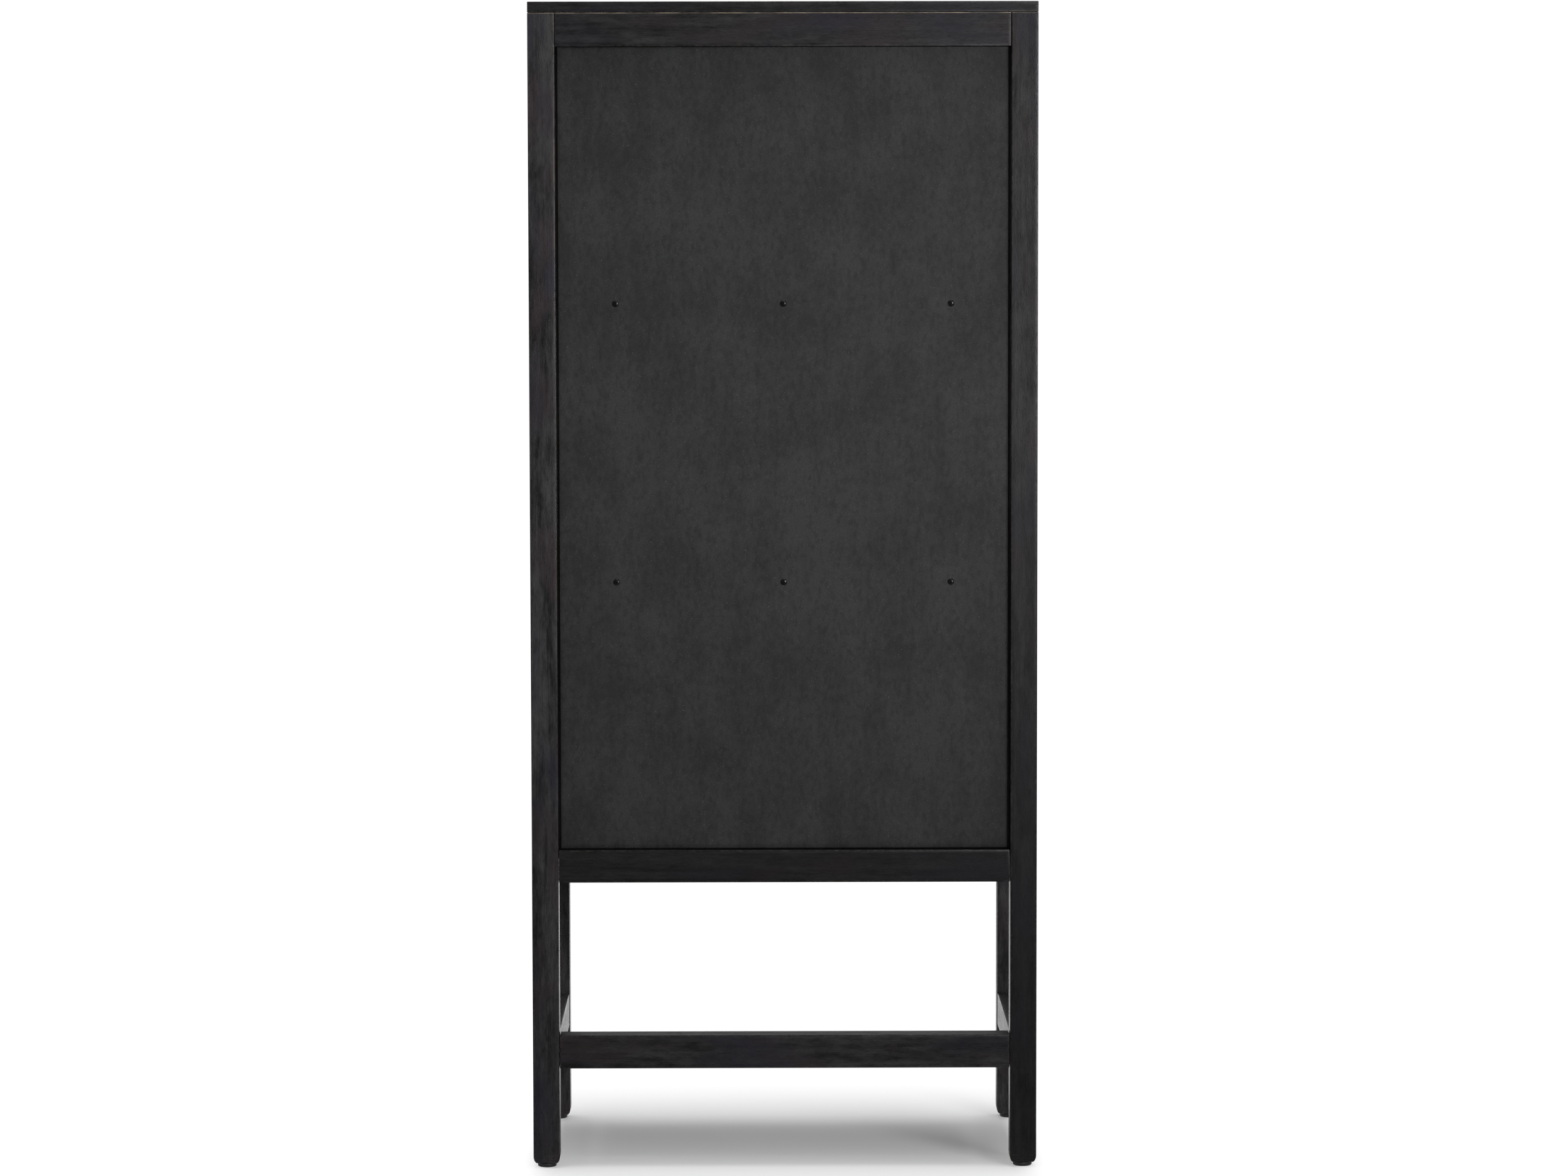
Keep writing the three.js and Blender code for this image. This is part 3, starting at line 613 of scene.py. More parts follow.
def lay_grain(bm, axis, stain, raw_top, bare_corner):
    """Stores the board's own coordinates, which run along the grain first.

    It also stores painted shade, which the stain pair gives from the board's lower end to its upper
    end,
    and a pale line: along the top, if raw_top says so, partly raw wood and partly a
    painted highlight; and a painted highlight, stronger and stronger upwards, along the arris that
    bare_corner picks by the signs of its X and Y.
    """
    grain = bm.verts.layers.float_vector.new("grain")
    painted_shade = bm.verts.layers.float.new("stain")
    raw = bm.verts.layers.float.new("raw")
    top = max(vert.co.z for vert in bm.verts)
    if raw_top:
        slice_level(bm, top - 2 * RAW_AND_HIGHLIGHT_BAND)
    start = Vector([rng.uniform(-9, 9) for _ in range(3)])
    half = max(vert.co[axis] for vert in bm.verts)
    for vert in bm.verts:
        along, across, through = (vert.co[(axis + step) % 3] for step in range(3))
        vert[grain] = start + Vector((along, across, through))
        # Painted shade, from the board's lower or left end to its other end
        vert[painted_shade] = stain[0] + (stain[1] - stain[0]) * (along + half) / (2 * half)
        vert[raw] = 1.0 if raw_top and vert.co.z > top - RAW_AND_HIGHLIGHT_BAND else 0.0
    # A painted highlight, stronger upwards, along the chosen arris where it catches the side light
    if bare_corner:
        farthest = [max(vert.co[way] for vert in bm.verts) for way in (X, Y)]
        corner = [sign * far for sign, far in zip(bare_corner, farthest)]
        for vert in bm.verts:
            if max(abs(vert.co[way] - corner[way]) for way in (X, Y)) < HIGHLIGHT_REACH:
                lighter = HIGHLIGHT_TOP * (vert.co.z + half) / (2 * half)
                vert[raw] = max(vert[raw], lighter)


def board(name, low, high, axis, body, replaces=(), cuts=(), **extra):
    """A sawn board with its grain along an axis.

    Extras are ease, the rounding of its edges; raw_top, a pale line along its top that
    is partly raw wood and partly a painted highlight; bare_corner, a painted highlight up one
    arris; and shape, a function that changes the block before it is eased.
    """
    round_over = extra.get("ease", bpy.context.scene.cabinet.wood.arris)
    bm, centre = eased_block(low, high, round_over, cuts, extra.get("shape"))
    half = (Vector(high) - Vector(low)) / 2
    for vert in bm.verts:
        vert.co = [max(-most, min(most, at)) for at, most in zip(vert.co, half)]
    raw_top, bare_corner = extra.get("raw_top", False), extra.get("bare_corner")
    # Painted shade for this board from its table, darker towards one end where listed
    stain = next((PAINTED_SHADE_ENDS[node] for node in replaces if node in PAINTED_SHADE_ENDS), EVEN)
    lay_grain(bm, axis, stain, raw_top, bare_corner)
    return settle(piece_from(bm, name, centre), body, "black_wood", replaces)


def turned(profile, steps=48):
    """A solid turned about Z from [radius, height] pairs that start and end on the axis."""
    bm = bmesh.new()
    rings = []
    for radius, height in profile:
        if radius < 1e-7:
            rings.append([bm.verts.new((0, 0, height))])
            continue
        angles = (2 * math.pi * i / steps for i in range(steps))
        points = [(radius * math.cos(a), radius * math.sin(a), height) for a in angles]
        rings.append([bm.verts.new(point) for point in points])
    for below, above in itertools.pairwise(rings):
        for i in range(steps):
            after = (i + 1) % steps
            loop = [ring[at % len(ring)] for ring, at in ((below, i), (below, after))]
            loop += [ring[at % len(ring)] for ring, at in ((above, after), (above, i))]
            bm.faces.new(dict.fromkeys(loop))
    smooth(bm)
    return bm


def laid_down(name, profile, place, turn, steps=48):
    """A turned piece whose axis lies along Y."""
    bm = turned(profile, steps)
    bmesh.ops.rotate(bm, matrix=Matrix.Rotation(turn, 3, "X"), verts=bm.verts)
    return piece_from(bm, name, place)


def arc(centre, radius, start, end, steps=6):
    """Points of a turned profile's rounded corner, with angles in degrees."""
    angles = [math.radians(start + (end - start) * i / steps) for i in range(steps + 1)]
    return [(centre[0] + radius * math.cos(a), centre[1] + radius * math.sin(a)) for a in angles]


def keep_sharp(piece, angle=40):
    piece.data.set_sharp_from_angle(angle=math.radians(angle))
    return piece


def carved(piece, cutter):
    """Cuts one object out of another and removes the cutter."""
    modifier = piece.modifiers.new("cut", "BOOLEAN")
    modifier.object = cutter
    modifier.operation = "DIFFERENCE"
    modifier.solver = "EXACT"
    modifier.use_self = True
    bpy.context.view_layer.update()
    graph = bpy.context.evaluated_depsgraph_get()
    mesh = bpy.data.meshes.new_from_object(piece.evaluated_get(graph))
    piece.modifiers.clear()
    piece.data = mesh
    bpy.data.objects.remove(cutter)
    return piece


def cross_screw(name, radius, height):
    """The head of a screw with a cross recess. It stands on the plane z = 0."""
    shoulder = HEAD_SHOULDER * height
    size = (SLOT_ARM[0] * radius, SLOT_ARM[1] * radius, 1.4 * height)
    profile = [(0, -0.5 * MM), (0.4 * radius, -0.5 * MM), (0.4 * radius, 0), (radius, 0)]
    dome = [
        (radius * math.cos(t), shoulder + (height - shoulder) * math.sin(t))
        for t in (math.pi / 2 * i / 8 for i in range(8))
    ]
    head = piece_from(turned([*profile, *dome, (0, height)]), name)
    slot_bm = bmesh.new()
    for turn in (0, math.pi / 2):
        arm = bmesh.ops.create_cube(slot_bm, size=1)["verts"]
        bmesh.ops.scale(slot_bm, vec=size, verts=arm)
        for vert in arm:
            if vert.co.z < 0:
                vert.co.x *= SLOT_TAPER[0]
                vert.co.y *= SLOT_TAPER[1]
        bmesh.ops.rotate(slot_bm, matrix=Matrix.Rotation(turn, 3, "Z"), verts=arm)
    bmesh.ops.translate(slot_bm, vec=(0, 0, height), verts=slot_bm.verts)
    head = carved(head, piece_from(slot_bm, "slot"))
    mesh = keep_sharp(head, 30).data
    bpy.data.objects.remove(head)
    return mesh


def place_screw(name, mesh, point, direction, body, slot, replaces=()):
    """Puts a screw's head on a surface that faces the given direction."""
    screw = bpy.data.objects.new(name, mesh)
    bpy.context.scene.collection.objects.link(screw)
    turn = Matrix.Rotation(rng.uniform(0, math.pi), 4, "Z")
    facing = Vector(direction).to_track_quat("Z", "Y").to_matrix().to_4x4()
    screw.matrix_world = Matrix.Translation(point) @ facing @ turn
    return settle(screw, body, slot, replaces)


def inner_x():
    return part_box("rear_right_post")[0].x


def rail_span():
    """Where rails along Y run: from the front posts to the rear posts."""
    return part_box("front_left_post")[1].y + SEAM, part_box("rear_left_post")[0].y - SEAM


# ---- Carcass ------------------------------------------------------------------------------


def rounded_foot(bm):
    """Eases the lower end of a post, more upwards than sideways."""
    floor = min(v.co.z for v in bm.verts)
    rim = [e for e in bm.edges if all(abs(v.co.z - floor) < 1e-6 for v in e.verts)]
    bmesh.ops.bevel(bm, geom=rim, offset=FOOT_EASE, segments=4, profile=0.5, affect="EDGES")
    for vert in bm.verts:
        if vert.co.z < floor + FOOT_EASE + 1e-6:
            vert.co.z = floor + (vert.co.z - floor) * FOOT_STRETCH


class CABINET_OT_posts(Operator):
    """Build the four corner posts, which run down to the floor as legs"""

    bl_idname = "cabinet.posts"
    bl_label = "Posts"

    def execute(self, context):
        for end, (side, _) in itertools.product(("front", "rear"), SIDES):
            node = f"{end}_{side}_post"
            low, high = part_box(node)
            # Along its top a pale line, partly raw wood and partly a painted highlight
            extra = {"shape": rounded_foot, "raw_top": True}
            # A painted highlight up this post's rear inner arris, where it catches light from the
            # side
            if node == "rear_right_post":
                extra["bare_corner"] = (-1, 1)
            board(f"{end}_{side}_corner_post", low, high, Z, "case", [node], **extra)
        return {"FINISHED"}


class CABINET_OT_top(Operator):
    """Build the top board"""

    bl_idname = "cabinet.top"
    bl_label = "Top board"

    def execute(self, context):
        low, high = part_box("top_board")
        board("top", low, high, X, "case", ["top_board"])
        return {"FINISHED"}


class CABINET_OT_rails(Operator):
    """Build the rails of the case and the three stretchers"""

    bl_idname = "cabinet.rails"
    bl_label = "Rails and stretchers"

    def execute(self, context):
        reach = inner_x() - JOINT
        cross = ["rear_top_rail", "rear_bottom_rail", "front_top_rail", "front_bottom_rail"]
        for node in [*cross, "rear_stretcher"]:
            low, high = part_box(node)
            low.x, high.x = -reach, reach
            if node == "rear_bottom_rail":
                low.z -= RAIL_FOOT_DROP
                high.z -= RAIL_TOP_DROP
            # Top rails get the pale line along their top, partly raw wood and partly a painted
            # highlight
            raw = node.endswith("top_rail")
            board(f"{node}_board", low, high, X, "case", [node], raw_top=raw)
        for (side, _), level in itertools.product(SIDES, ("top_rail", "bottom_rail", "stretcher")):
            node = f"{side}_{level}"
            low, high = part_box(node)
            low.y, high.y = rail_span()
            # Top rails get the pale line along their top, partly raw wood and partly a painted
            # highlight
            board(f"{node}_board", low, high, Y, "case", [node], raw_top=level == "top_rail")
        return {"FINISHED"}


class CABINET_OT_side_panels(Operator):
    """Build the two side panels"""

    bl_idname = "cabinet.side_panels"
    bl_label = "Side panels"

    def execute(self, context):
        for side, _ in SIDES:
            node = f"{side}_side_panel"
            low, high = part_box(node)
            low.y, high.y = rail_span()
            board(f"{side}_side_board", low, high, Z, "case", [node])
        return {"FINISHED"}


class CABINET_OT_back(Operator):
    """Build the painted back panel and the screws that hold it to the shelves"""

    bl_idname = "cabinet.back"
    bl_label = "Back panel"

    def execute(self, context):
        paint = context.scene.cabinet.paint
        low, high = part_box("back_panel")
        low.z -= RAIL_TOP_DROP
        floor, side = high.y - PANEL_GROOVE_DEPTH, PANEL_SIDE_GROOVE - SEAM
        spans = (
            (low.x - PAST, low.x + side, high.z + PAST),
            (high.x - side, high.x + PAST, high.z + PAST),
            (low.x - PAST, high.x + PAST, low.z + PANEL_FOOT_GROOVE),
        )
        grooves = [
            ((start, floor, low.z - PAST), (stop, high.y + PAST, top)) for start, stop, top in spans
        ]
        centre = (low + high) / 2
        bm = block(low, high, grooves)
        self.chamfer_foot(bm)
        bmesh.ops.translate(bm, verts=bm.verts, vec=-centre)
        ease_edges(bm, paint.arris)
        settle(piece_from(bm, "back_board", centre), "case", "black_board", ["back_panel"])

        head = cross_screw("back_screw_head", 5 * MM, 3 * MM)
        for level, number in itertools.product(LEVELS, (1, 2, 3)):
            node = f"{level}_back_screw_{number}"
            start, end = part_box(node)
            middle = (start + end) / 2
            point = (middle.x, high.y, middle.z)
            place_screw(f"{node}_head", head, point, (0, 1, 0), "case", "black_metal", [node])
        return {"FINISHED"}

    def chamfer_foot(self, bm):
        """Leans the lowest strip of the panel's outer face inwards."""
        foot = min(v.co.z for v in bm.verts) + PANEL_FOOT_GROOVE
        face = max(v.co.y for v in bm.verts)
        slice_level(bm, foot + PANEL_FOOT_CHAMFER)
        for vert in bm.verts:
            if abs(vert.co.z - foot) < SEAM and vert.co.y > face - SEAM:
                vert.co.y -= PANEL_FOOT_SLOPE


class CABINET_OT_shelves(Operator):
    """Build the case floor and the two fixed shelves"""

    bl_idname = "cabinet.shelves"
    bl_label = "Shelves"

    def execute(self, context):
        reach = inner_x() - SEAM
        for node in ("case_floor", "lower_shelf", "upper_shelf"):
            low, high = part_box(node)
            low.x, high.x = -reach, reach
            board(f"{node}_board", low, high, X, "case", [node])
        return {"FINISHED"}


class CABINET_OT_grid(Operator):
    """Build the boards between the drawers, halved into each other"""

    bl_idname = "cabinet.grid"
    bl_label = "Drawer grid"

    def execute(self, context):
        low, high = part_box("drawer_grid")
        vertices = frame["nodes"]["drawer_grid"].data.vertices
        across = sorted({round(v.co.x, 5) for v in vertices})
        upward = sorted({round(v.co.z, 5) for v in vertices})
        columns = [(across[1], across[2]), (across[3], across[4])]
        row = (upward[1], upward[2])
        middle = (low.y + high.y) / 2
        slots = [
            ((left - SEAM, middle, low.z), (right + SEAM, high.y + PAST, high.z))
            for left, right in columns
        ]
        row_low, row_high = (low.x, low.y, row[0]), (high.x, high.y, row[1])
        board("drawer_row_board", row_low, row_high, X, "case", ["drawer_grid"], slots)
        for name, (left, right) in zip(("left", "right"), columns):
            slot = (
                (left - PAST, low.y - PAST, row[0] - SEAM),
                (right + PAST, middle + SEAM, row[1] + SEAM),
            )
            start, end = (left, low.y, low.z), (right, high.y, high.z)
            board(f"{name}_drawer_column_board", start, end, Z, "case", (), [slot])
        return {"FINISHED"}


class CABINET_OT_glides(Operator):
    """Build the round glides under the posts"""

    bl_idname = "cabinet.glides"
    bl_label = "Glides"

    def execute(self, context):
        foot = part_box("rear_left_post")[0].z - SEAM
        for end, (side, _) in itertools.product(("front", "rear"), SIDES):
            node = f"{end}_{side}_glide"
            low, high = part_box(node)
            radius = (high.x - low.x) / 2
            ease = 2.5 * MM
            profile = [(0, 0.4 * MM), (0.35 * radius, 0.4 * MM), (0.4 * radius, 0)]
            profile += arc((radius - ease, ease), ease, -90, 0)
            profile += arc((radius - 0.6 * MM, foot - 0.6 * MM), 0.6 * MM, 0, 90, 3)
            profile += [(0, foot)]
            middle = (low + high) / 2
            piece = piece_from(turned(profile), f"{node}_disc", (middle.x, middle.y, low.z))
            settle(keep_sharp(piece), "case", "black_plastic", [node])
        return {"FINISHED"}


# ---- Hardware -----------------------------------------------------------------------------


def knob(name, node, body):
    """A turned mushroom knob on a stepped rose."""
    low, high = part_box(node)
    reach = high.y - low.y - KNOB_STUD
    radius = (high.x - low.x) / 2
    rose = 0.77 * radius
    profile = [(0, 0.15 * MM), (rose, 0.15 * MM)]
    profile += arc((rose - 0.8 * MM, 1.2 * MM), 0.8 * MM, 0, 90, 3)
    profile += [(0.6 * radius, 2.0 * MM), (0.56 * radius, 3.0 * MM)]
    neck = enumerate((0.5, 0.4, 0.36, 0.38, 0.46))
    profile += [(share * radius, (4.0 + 2.4 * i) * MM) for i, share in neck]
    profile += [(0.72 * radius, 0.56 * reach), (0.93 * radius, 0.64 * reach)]
    profile += arc((0.88 * radius, 0.75 * reach), 0.12 * radius, -40, 40, 6)
    crown = (math.pi / 2 * i / 8 for i in range(1, 8))
    profile += [
        (0.94 * radius * math.cos(t), (0.82 + 0.18 * math.sin(t)) * reach) for t in crown
    ]
    place = ((low.x + high.x) / 2, low.y + reach, (low.z + high.z) / 2)
    piece = laid_down(name, [*profile, (0, reach)], place, TO_FRONT)
    return settle(keep_sharp(piece, 50), body, "dark_metal", [node])


def hinge_pin():
    """A pin with a rounded tip at each end, as a mesh along Z."""
    end = HINGE_HALF + KNUCKLE_GAP
    profile = [(0, -end - PIN_TIP)]
    profile += arc((0, -end - PIN_TIP / 2), PIN_TIP / 2, -80, 0, 5)
    profile += [(PIN_TIP, -end), (PIN_RADIUS, -end), (PIN_RADIUS, end), (PIN_TIP, end)]
    profile += arc((0, end + PIN_TIP / 2), PIN_TIP / 2, 0, 80, 5)
    profile += [(0, end + PIN_TIP)]
    pin = turned(profile, 24)
    mesh = bpy.data.meshes.new("pin")
    pin.to_mesh(mesh)
    pin.free()
    return mesh


def rolled_leaf(name, node, side, faces_post, body, screw):
    """One leaf of a butt hinge: a plate rolled round the pin, with three screws."""
    low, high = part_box(node)
    joint = next(j for j in frame["joints"] if j["name"] == "right_door_hinge")
    axis_x, axis_y = side * joint["pos_m"][0], joint["pos_m"][1]
    centre = Vector((axis_x, axis_y, (low.z + high.z) / 2))
    outward = side if faces_post else -side
    leaf_end = high.y - axis_y
    leaf_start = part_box("front_left_post")[0].y - axis_y
    start = math.degrees(math.acos(LEAF_FAR / BARREL_RADIUS))
    rolled = [(LEAF_FAR, leaf_end)]
    rolled += arc((0, 0), BARREL_RADIUS, start, -267, 26)
    rolled += arc((0, 0), BARREL_BORE, -267, 87.5, 26)
    rolled += [(LEAF_NEAR, leaf_end)]
    plate = [(LEAF_FAR, leaf_end), (LEAF_FAR, leaf_start)]
    plate += [(LEAF_NEAR, leaf_start), (LEAF_NEAR, leaf_end)]
    inner, ends, knuckle = plate, rolled, KNUCKLE_HALF + KNUCKLE_GAP
    if not faces_post:
        inner, ends, knuckle = rolled, plate, KNUCKLE_HALF
    heights = (-HINGE_HALF, -knuckle, knuckle, HINGE_HALF)
    bm = bmesh.new()
    for (bottom, top), points in zip(itertools.pairwise(heights), (ends, inner, ends)):
        rings = [[bm.verts.new((outward * x, y, z)) for x, y in points] for z in (bottom, top)]
        for i in range(len(points)):
            after = (i + 1) % len(points)
            bm.faces.new((rings[0][i], rings[0][after], rings[1][after], rings[1][i]))
        bm.faces.new(rings[0])
        bm.faces.new(rings[1])
    if not faces_post:
        pin = hinge_pin()
        bm.from_mesh(pin)
        bpy.data.meshes.remove(pin)
    smooth(bm)
    piece = piece_from(bm, name, centre)
    settle(keep_sharp(piece, 30), body, "dark_metal", [node])
    sunk = axis_x + outward * LEAF_NEAR + outward * SCREW_SUNK
    for number, (along, share) in enumerate(LEAF_SCREWS, start=1):
        point = (sunk, axis_y + share * leaf_end, centre.z + along * 2 * HINGE_HALF)
        head = f"{name}_screw_{number}"
        place_screw(head, screw, point, (-outward, 0, 0), body, "dark_metal")
    return piece


class CABINET_OT_hinges(Operator):
    """Build the butt hinges, whose barrels stand proud of the front"""

    bl_idname = "cabinet.hinges"
    bl_label = "Hinges"

    def execute(self, context):
        screw = cross_screw("hinge_screw_head", 2.4 * MM, 0.3 * MM)
        for (side, sign), level in itertools.product(SIDES, LEVELS):
            plate = f"{side}_{level}_hinge_plate"
            leaf = f"{side}_door_{level}_hinge_leaf"
            rolled_leaf(f"{plate}_rolled", plate, sign, True, "case", screw)
            rolled_leaf(f"{leaf}_rolled", leaf, sign, False, f"{side}_door", screw)
        return {"FINISHED"}


class CABINET_OT_catch(Operator):
    """Build the double magnetic catch and its two strike plates"""

    bl_idname = "cabinet.catch"
    bl_label = "Catch"

    def execute(self, context):
        low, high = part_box("door_catch")
        rail_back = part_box("front_top_rail")[1].y + SEAM
        rail_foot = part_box("front_top_rail")[0].z - SEAM
        corner_low = (low.x - PAST, low.y - PAST, rail_foot)
        corner_high = (high.x + PAST, rail_back, high.z + PAST)
        catch = eased_piece("catch_body", low, high, 0.8 * MM, cuts=[(corner_low, corner_high)])
        settle(catch, "case", "black_plastic", ["door_catch"])
        door_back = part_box("left_door_frame")[1].y
        level = (low.z + rail_foot) / 2
        strike = [(0, -0.4 * MM), (6.5 * MM, -0.4 * MM), (STRIKE_RADIUS, 0)]
        strike += [(STRIKE_RADIUS, 0.5 * MM), (6.6 * MM, 0.8 * MM), (0, 0.8 * MM)]
        for side, sign in SIDES:
            middle = sign * MAGNET_APART
            start = (middle - MAGNET_HALF_WIDTH, low.y - MAGNET_PROUD, level - MAGNET_HALF_HEIGHT)
            stop = (middle + MAGNET_HALF_WIDTH, low.y + MAGNET_SUNK, level + MAGNET_HALF_HEIGHT)
            magnet = eased_piece(f"catch_{side}_magnet", start, stop, 0.3 * MM, centre=Vector())
            settle(magnet, "case", "black_metal")
            place = (middle, door_back, level)
            plate = laid_down(f"{side}_door_strike", strike, place, TO_REAR, 32)
            settle(keep_sharp(plate), f"{side}_door", "black_metal")
        return {"FINISHED"}


# ---- Doors --------------------------------------------------------------------------------


def chamfer_front(bm, x_edges=(), z_edges=()):
    """Chamfers the front edges at the given places. They border the lights of a door."""
    front = min(v.co.y for v in bm.verts)

    def borders(edge):
        if any(abs(v.co.y - front) > 1e-6 for v in edge.verts):
            return False
        by_x = any(all(abs(v.co.x - x) < 1e-6 for v in edge.verts) for x in x_edges)
        by_z = any(all(abs(v.co.z - z) < 1e-6 for v in edge.verts) for z in z_edges)
        return by_x or by_z

    edges = [e for e in bm.edges if borders(e)]
    bmesh.ops.bevel(bm, geom=edges, offset=STICKING, segments=1, affect="EDGES")


class CABINET_OT_doors(Operator):
    """Build the two glazed doors: stiles, rails, glazing bar, pane, beads and knob"""

    bl_idname = "cabinet.doors"
    bl_label = "Doors"

    def execute(self, context):
        shelf_low, shelf_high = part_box("upper_shelf")
        bar_middle = (shelf_low.z + shelf_high.z) / 2
        for side, sign in SIDES:
            self.build(side, sign, bar_middle)
        return {"FINISHED"}

    def build(self, side, sign, bar_middle):
        body = f"{side}_door"
        frame_node, glass_node = f"{side}_door_frame", f"{side}_door_glass"
        low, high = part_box(frame_node)
        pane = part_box(glass_node)
        x0, x1 = pane[0].x + LIP_REACH, pane[1].x - LIP_REACH
        z0, z1 = pane[0].z + LIP_REACH, pane[1].z - LIP_REACH
        bar = (bar_middle - BAR_HEIGHT / 2, bar_middle + BAR_HEIGHT / 2)
        rabbet = (
            (pane[0].x - GLASS_ROOM, low.y + BAR_DEPTH, pane[0].z - GLASS_ROOM),
            (pane[1].x + GLASS_ROOM, high.y + PAST, pane[1].z + GLASS_ROOM),
        )
        recesses = []
        edge = high.x if sign > 0 else low.x
        start, stop = sorted((edge - sign * LEAF_RECESS, edge + sign * PAST))
        tall = HINGE_HALF + KNUCKLE_GAP
        for level in LEVELS:
            leaf_low, leaf_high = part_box(f"{side}_door_{level}_hinge_leaf")
            height = (leaf_low.z + leaf_high.z) / 2
            recess_low = (start, low.y - PAST, height - tall)
            recesses.append((recess_low, (stop, leaf_high.y + SEAM, height + tall)))
        stiles = {"left": (low.x, x0, x0), "right": (x1, high.x, x1)}
        for end, (start, stop, edge) in stiles.items():
            kind = "hanging" if end == side else "meeting"
            edge -= (start + stop) / 2
            board(
                f"{side}_door_{kind}_stile",
                (start, low.y, low.z),
                (stop, high.y, high.z),
                Z,
                body,
                [frame_node] if kind == "hanging" else (),
                [rabbet, *recesses] if kind == "hanging" else [rabbet],
                shape=lambda bm, edge=edge: chamfer_front(bm, x_edges=[edge]),
            )
        rails = {
            "bottom_rail": (low.z, z0, high.y, [z0]),
            "top_rail": (z1, high.z, high.y, [z1]),
            "glazing_bar": (*bar, low.y + BAR_DEPTH, bar),
        }
        for kind, (start, stop, back, edges) in rails.items():
            edges = [edge - (start + stop) / 2 for edge in edges]
            board(
                f"{side}_door_{kind}",
                (x0 + SEAM, low.y, start),
                (x1 - SEAM, back, stop),
                X,
                body,
                (),
                [rabbet],
                shape=lambda bm, edges=edges: chamfer_front(bm, z_edges=edges),
            )
        self.glaze(side, body, pane, glass_node, high.y)
        knob(f"{side}_door_pull", f"{side}_door_knob", body)

    def glaze(self, side, body, pane, glass_node, back):
        """The pane and the four strips that hold it in its rabbet."""
        low, high = pane
        sheet = eased_piece(f"{side}_door_pane", low, high, 0.4 * MM)
        settle(sheet, body, "clear_glass", [glass_node])
        start, stop = high.y + 0.2 * MM, back - 0.3 * MM
        inner = (low.x + BEAD + SEAM, high.x - BEAD - SEAM)
        beads = {
            "left": ((low.x, low.x + BEAD), (low.z, high.z), Z),
            "right": ((high.x - BEAD, high.x), (low.z, high.z), Z),
            "lower": (inner, (low.z, low.z + BEAD), X),
            "upper": (inner, (high.z - BEAD, high.z), X),
        }
        for end, (across, up, axis) in beads.items():
            bead_low, bead_high = (across[0], start, up[0]), (across[1], stop, up[1])
            board(f"{side}_door_{end}_bead", bead_low, bead_high, axis, body, ease=BEAD_EASE)


# ---- Drawers ------------------------------------------------------------------------------


def card_holder(name, body, centre_x, front, centre_z):
    """A pressed metal frame open at the top, with a blank card, held by two pins."""
    width, height = HOLDER_SIZE
    x0, x1 = centre_x - width / 2, centre_x + width / 2
    z0, z1 = centre_z - height / 2, centre_z + height / 2
    back, face = front - HOLDER_STAND, front - HOLDER_THICKNESS
    window = (
        (x0 + HOLDER_BORDER, face - PAST, z0 + HOLDER_BORDER),
        (x1 - HOLDER_BORDER, back + PAST, z1 - 0.6 * HOLDER_BORDER),
    )
    channel = (
        (x0 + HOLDER_WALL, face + HOLDER_SKIN, z0 + HOLDER_WALL),
        (x1 - HOLDER_WALL, back + PAST, z1 + PAST),
    )
    cuts = [window, channel]
    bottom, top = z0 - PAST, z1 + PAST
    for start, stop in ((x0 - HOLDER_TAB - PAST, x0), (x1, x1 + HOLDER_TAB + PAST)):
        low = (start, face - PAST, bottom)
        cuts.append(((start, face - PAST, centre_z + HOLDER_TAB_HALF), (stop, back + PAST, top)))
        cuts.append((low, (stop, back + PAST, centre_z - HOLDER_TAB_HALF)))
        cuts.append((low, (stop, back - TAB_THICKNESS, top)))
    low, high = (x0 - HOLDER_TAB, face, z0 - 1 * MM), (x1 + HOLDER_TAB, back, z1)
    centre = Vector((centre_x, front, centre_z))
    holder = eased_piece(f"{name}_card_holder", low, high, 0.25 * MM, cuts=cuts, centre=centre)
    settle(holder, body, "dark_metal")

    card_back, room = back - 0.1 * MM, HOLDER_WALL + CARD_ROOM
    low = (x0 + room, card_back - CARD_THICKNESS, z0 + room)
    high = (x1 - room, card_back, z1 + 0.5 * MM)
    card = eased_piece(f"{name}_card", low, high, 0.1 * MM, centre=centre)
    settle(card, body, "card")

    dome = [(0, 0), (1.7 * MM, 0), (1.6 * MM, 0.5 * MM), (1.1 * MM, 0.95 * MM), (0, 1.2 * MM)]
    for end, x in (("left", x0 - HOLDER_TAB / 2), ("right", x1 + HOLDER_TAB / 2)):
        place = (x, back - TAB_THICKNESS, centre_z)
        settle(laid_down(f"{name}_{end}_pin", dome, place, TO_FRONT, 24), body, "dark_metal")


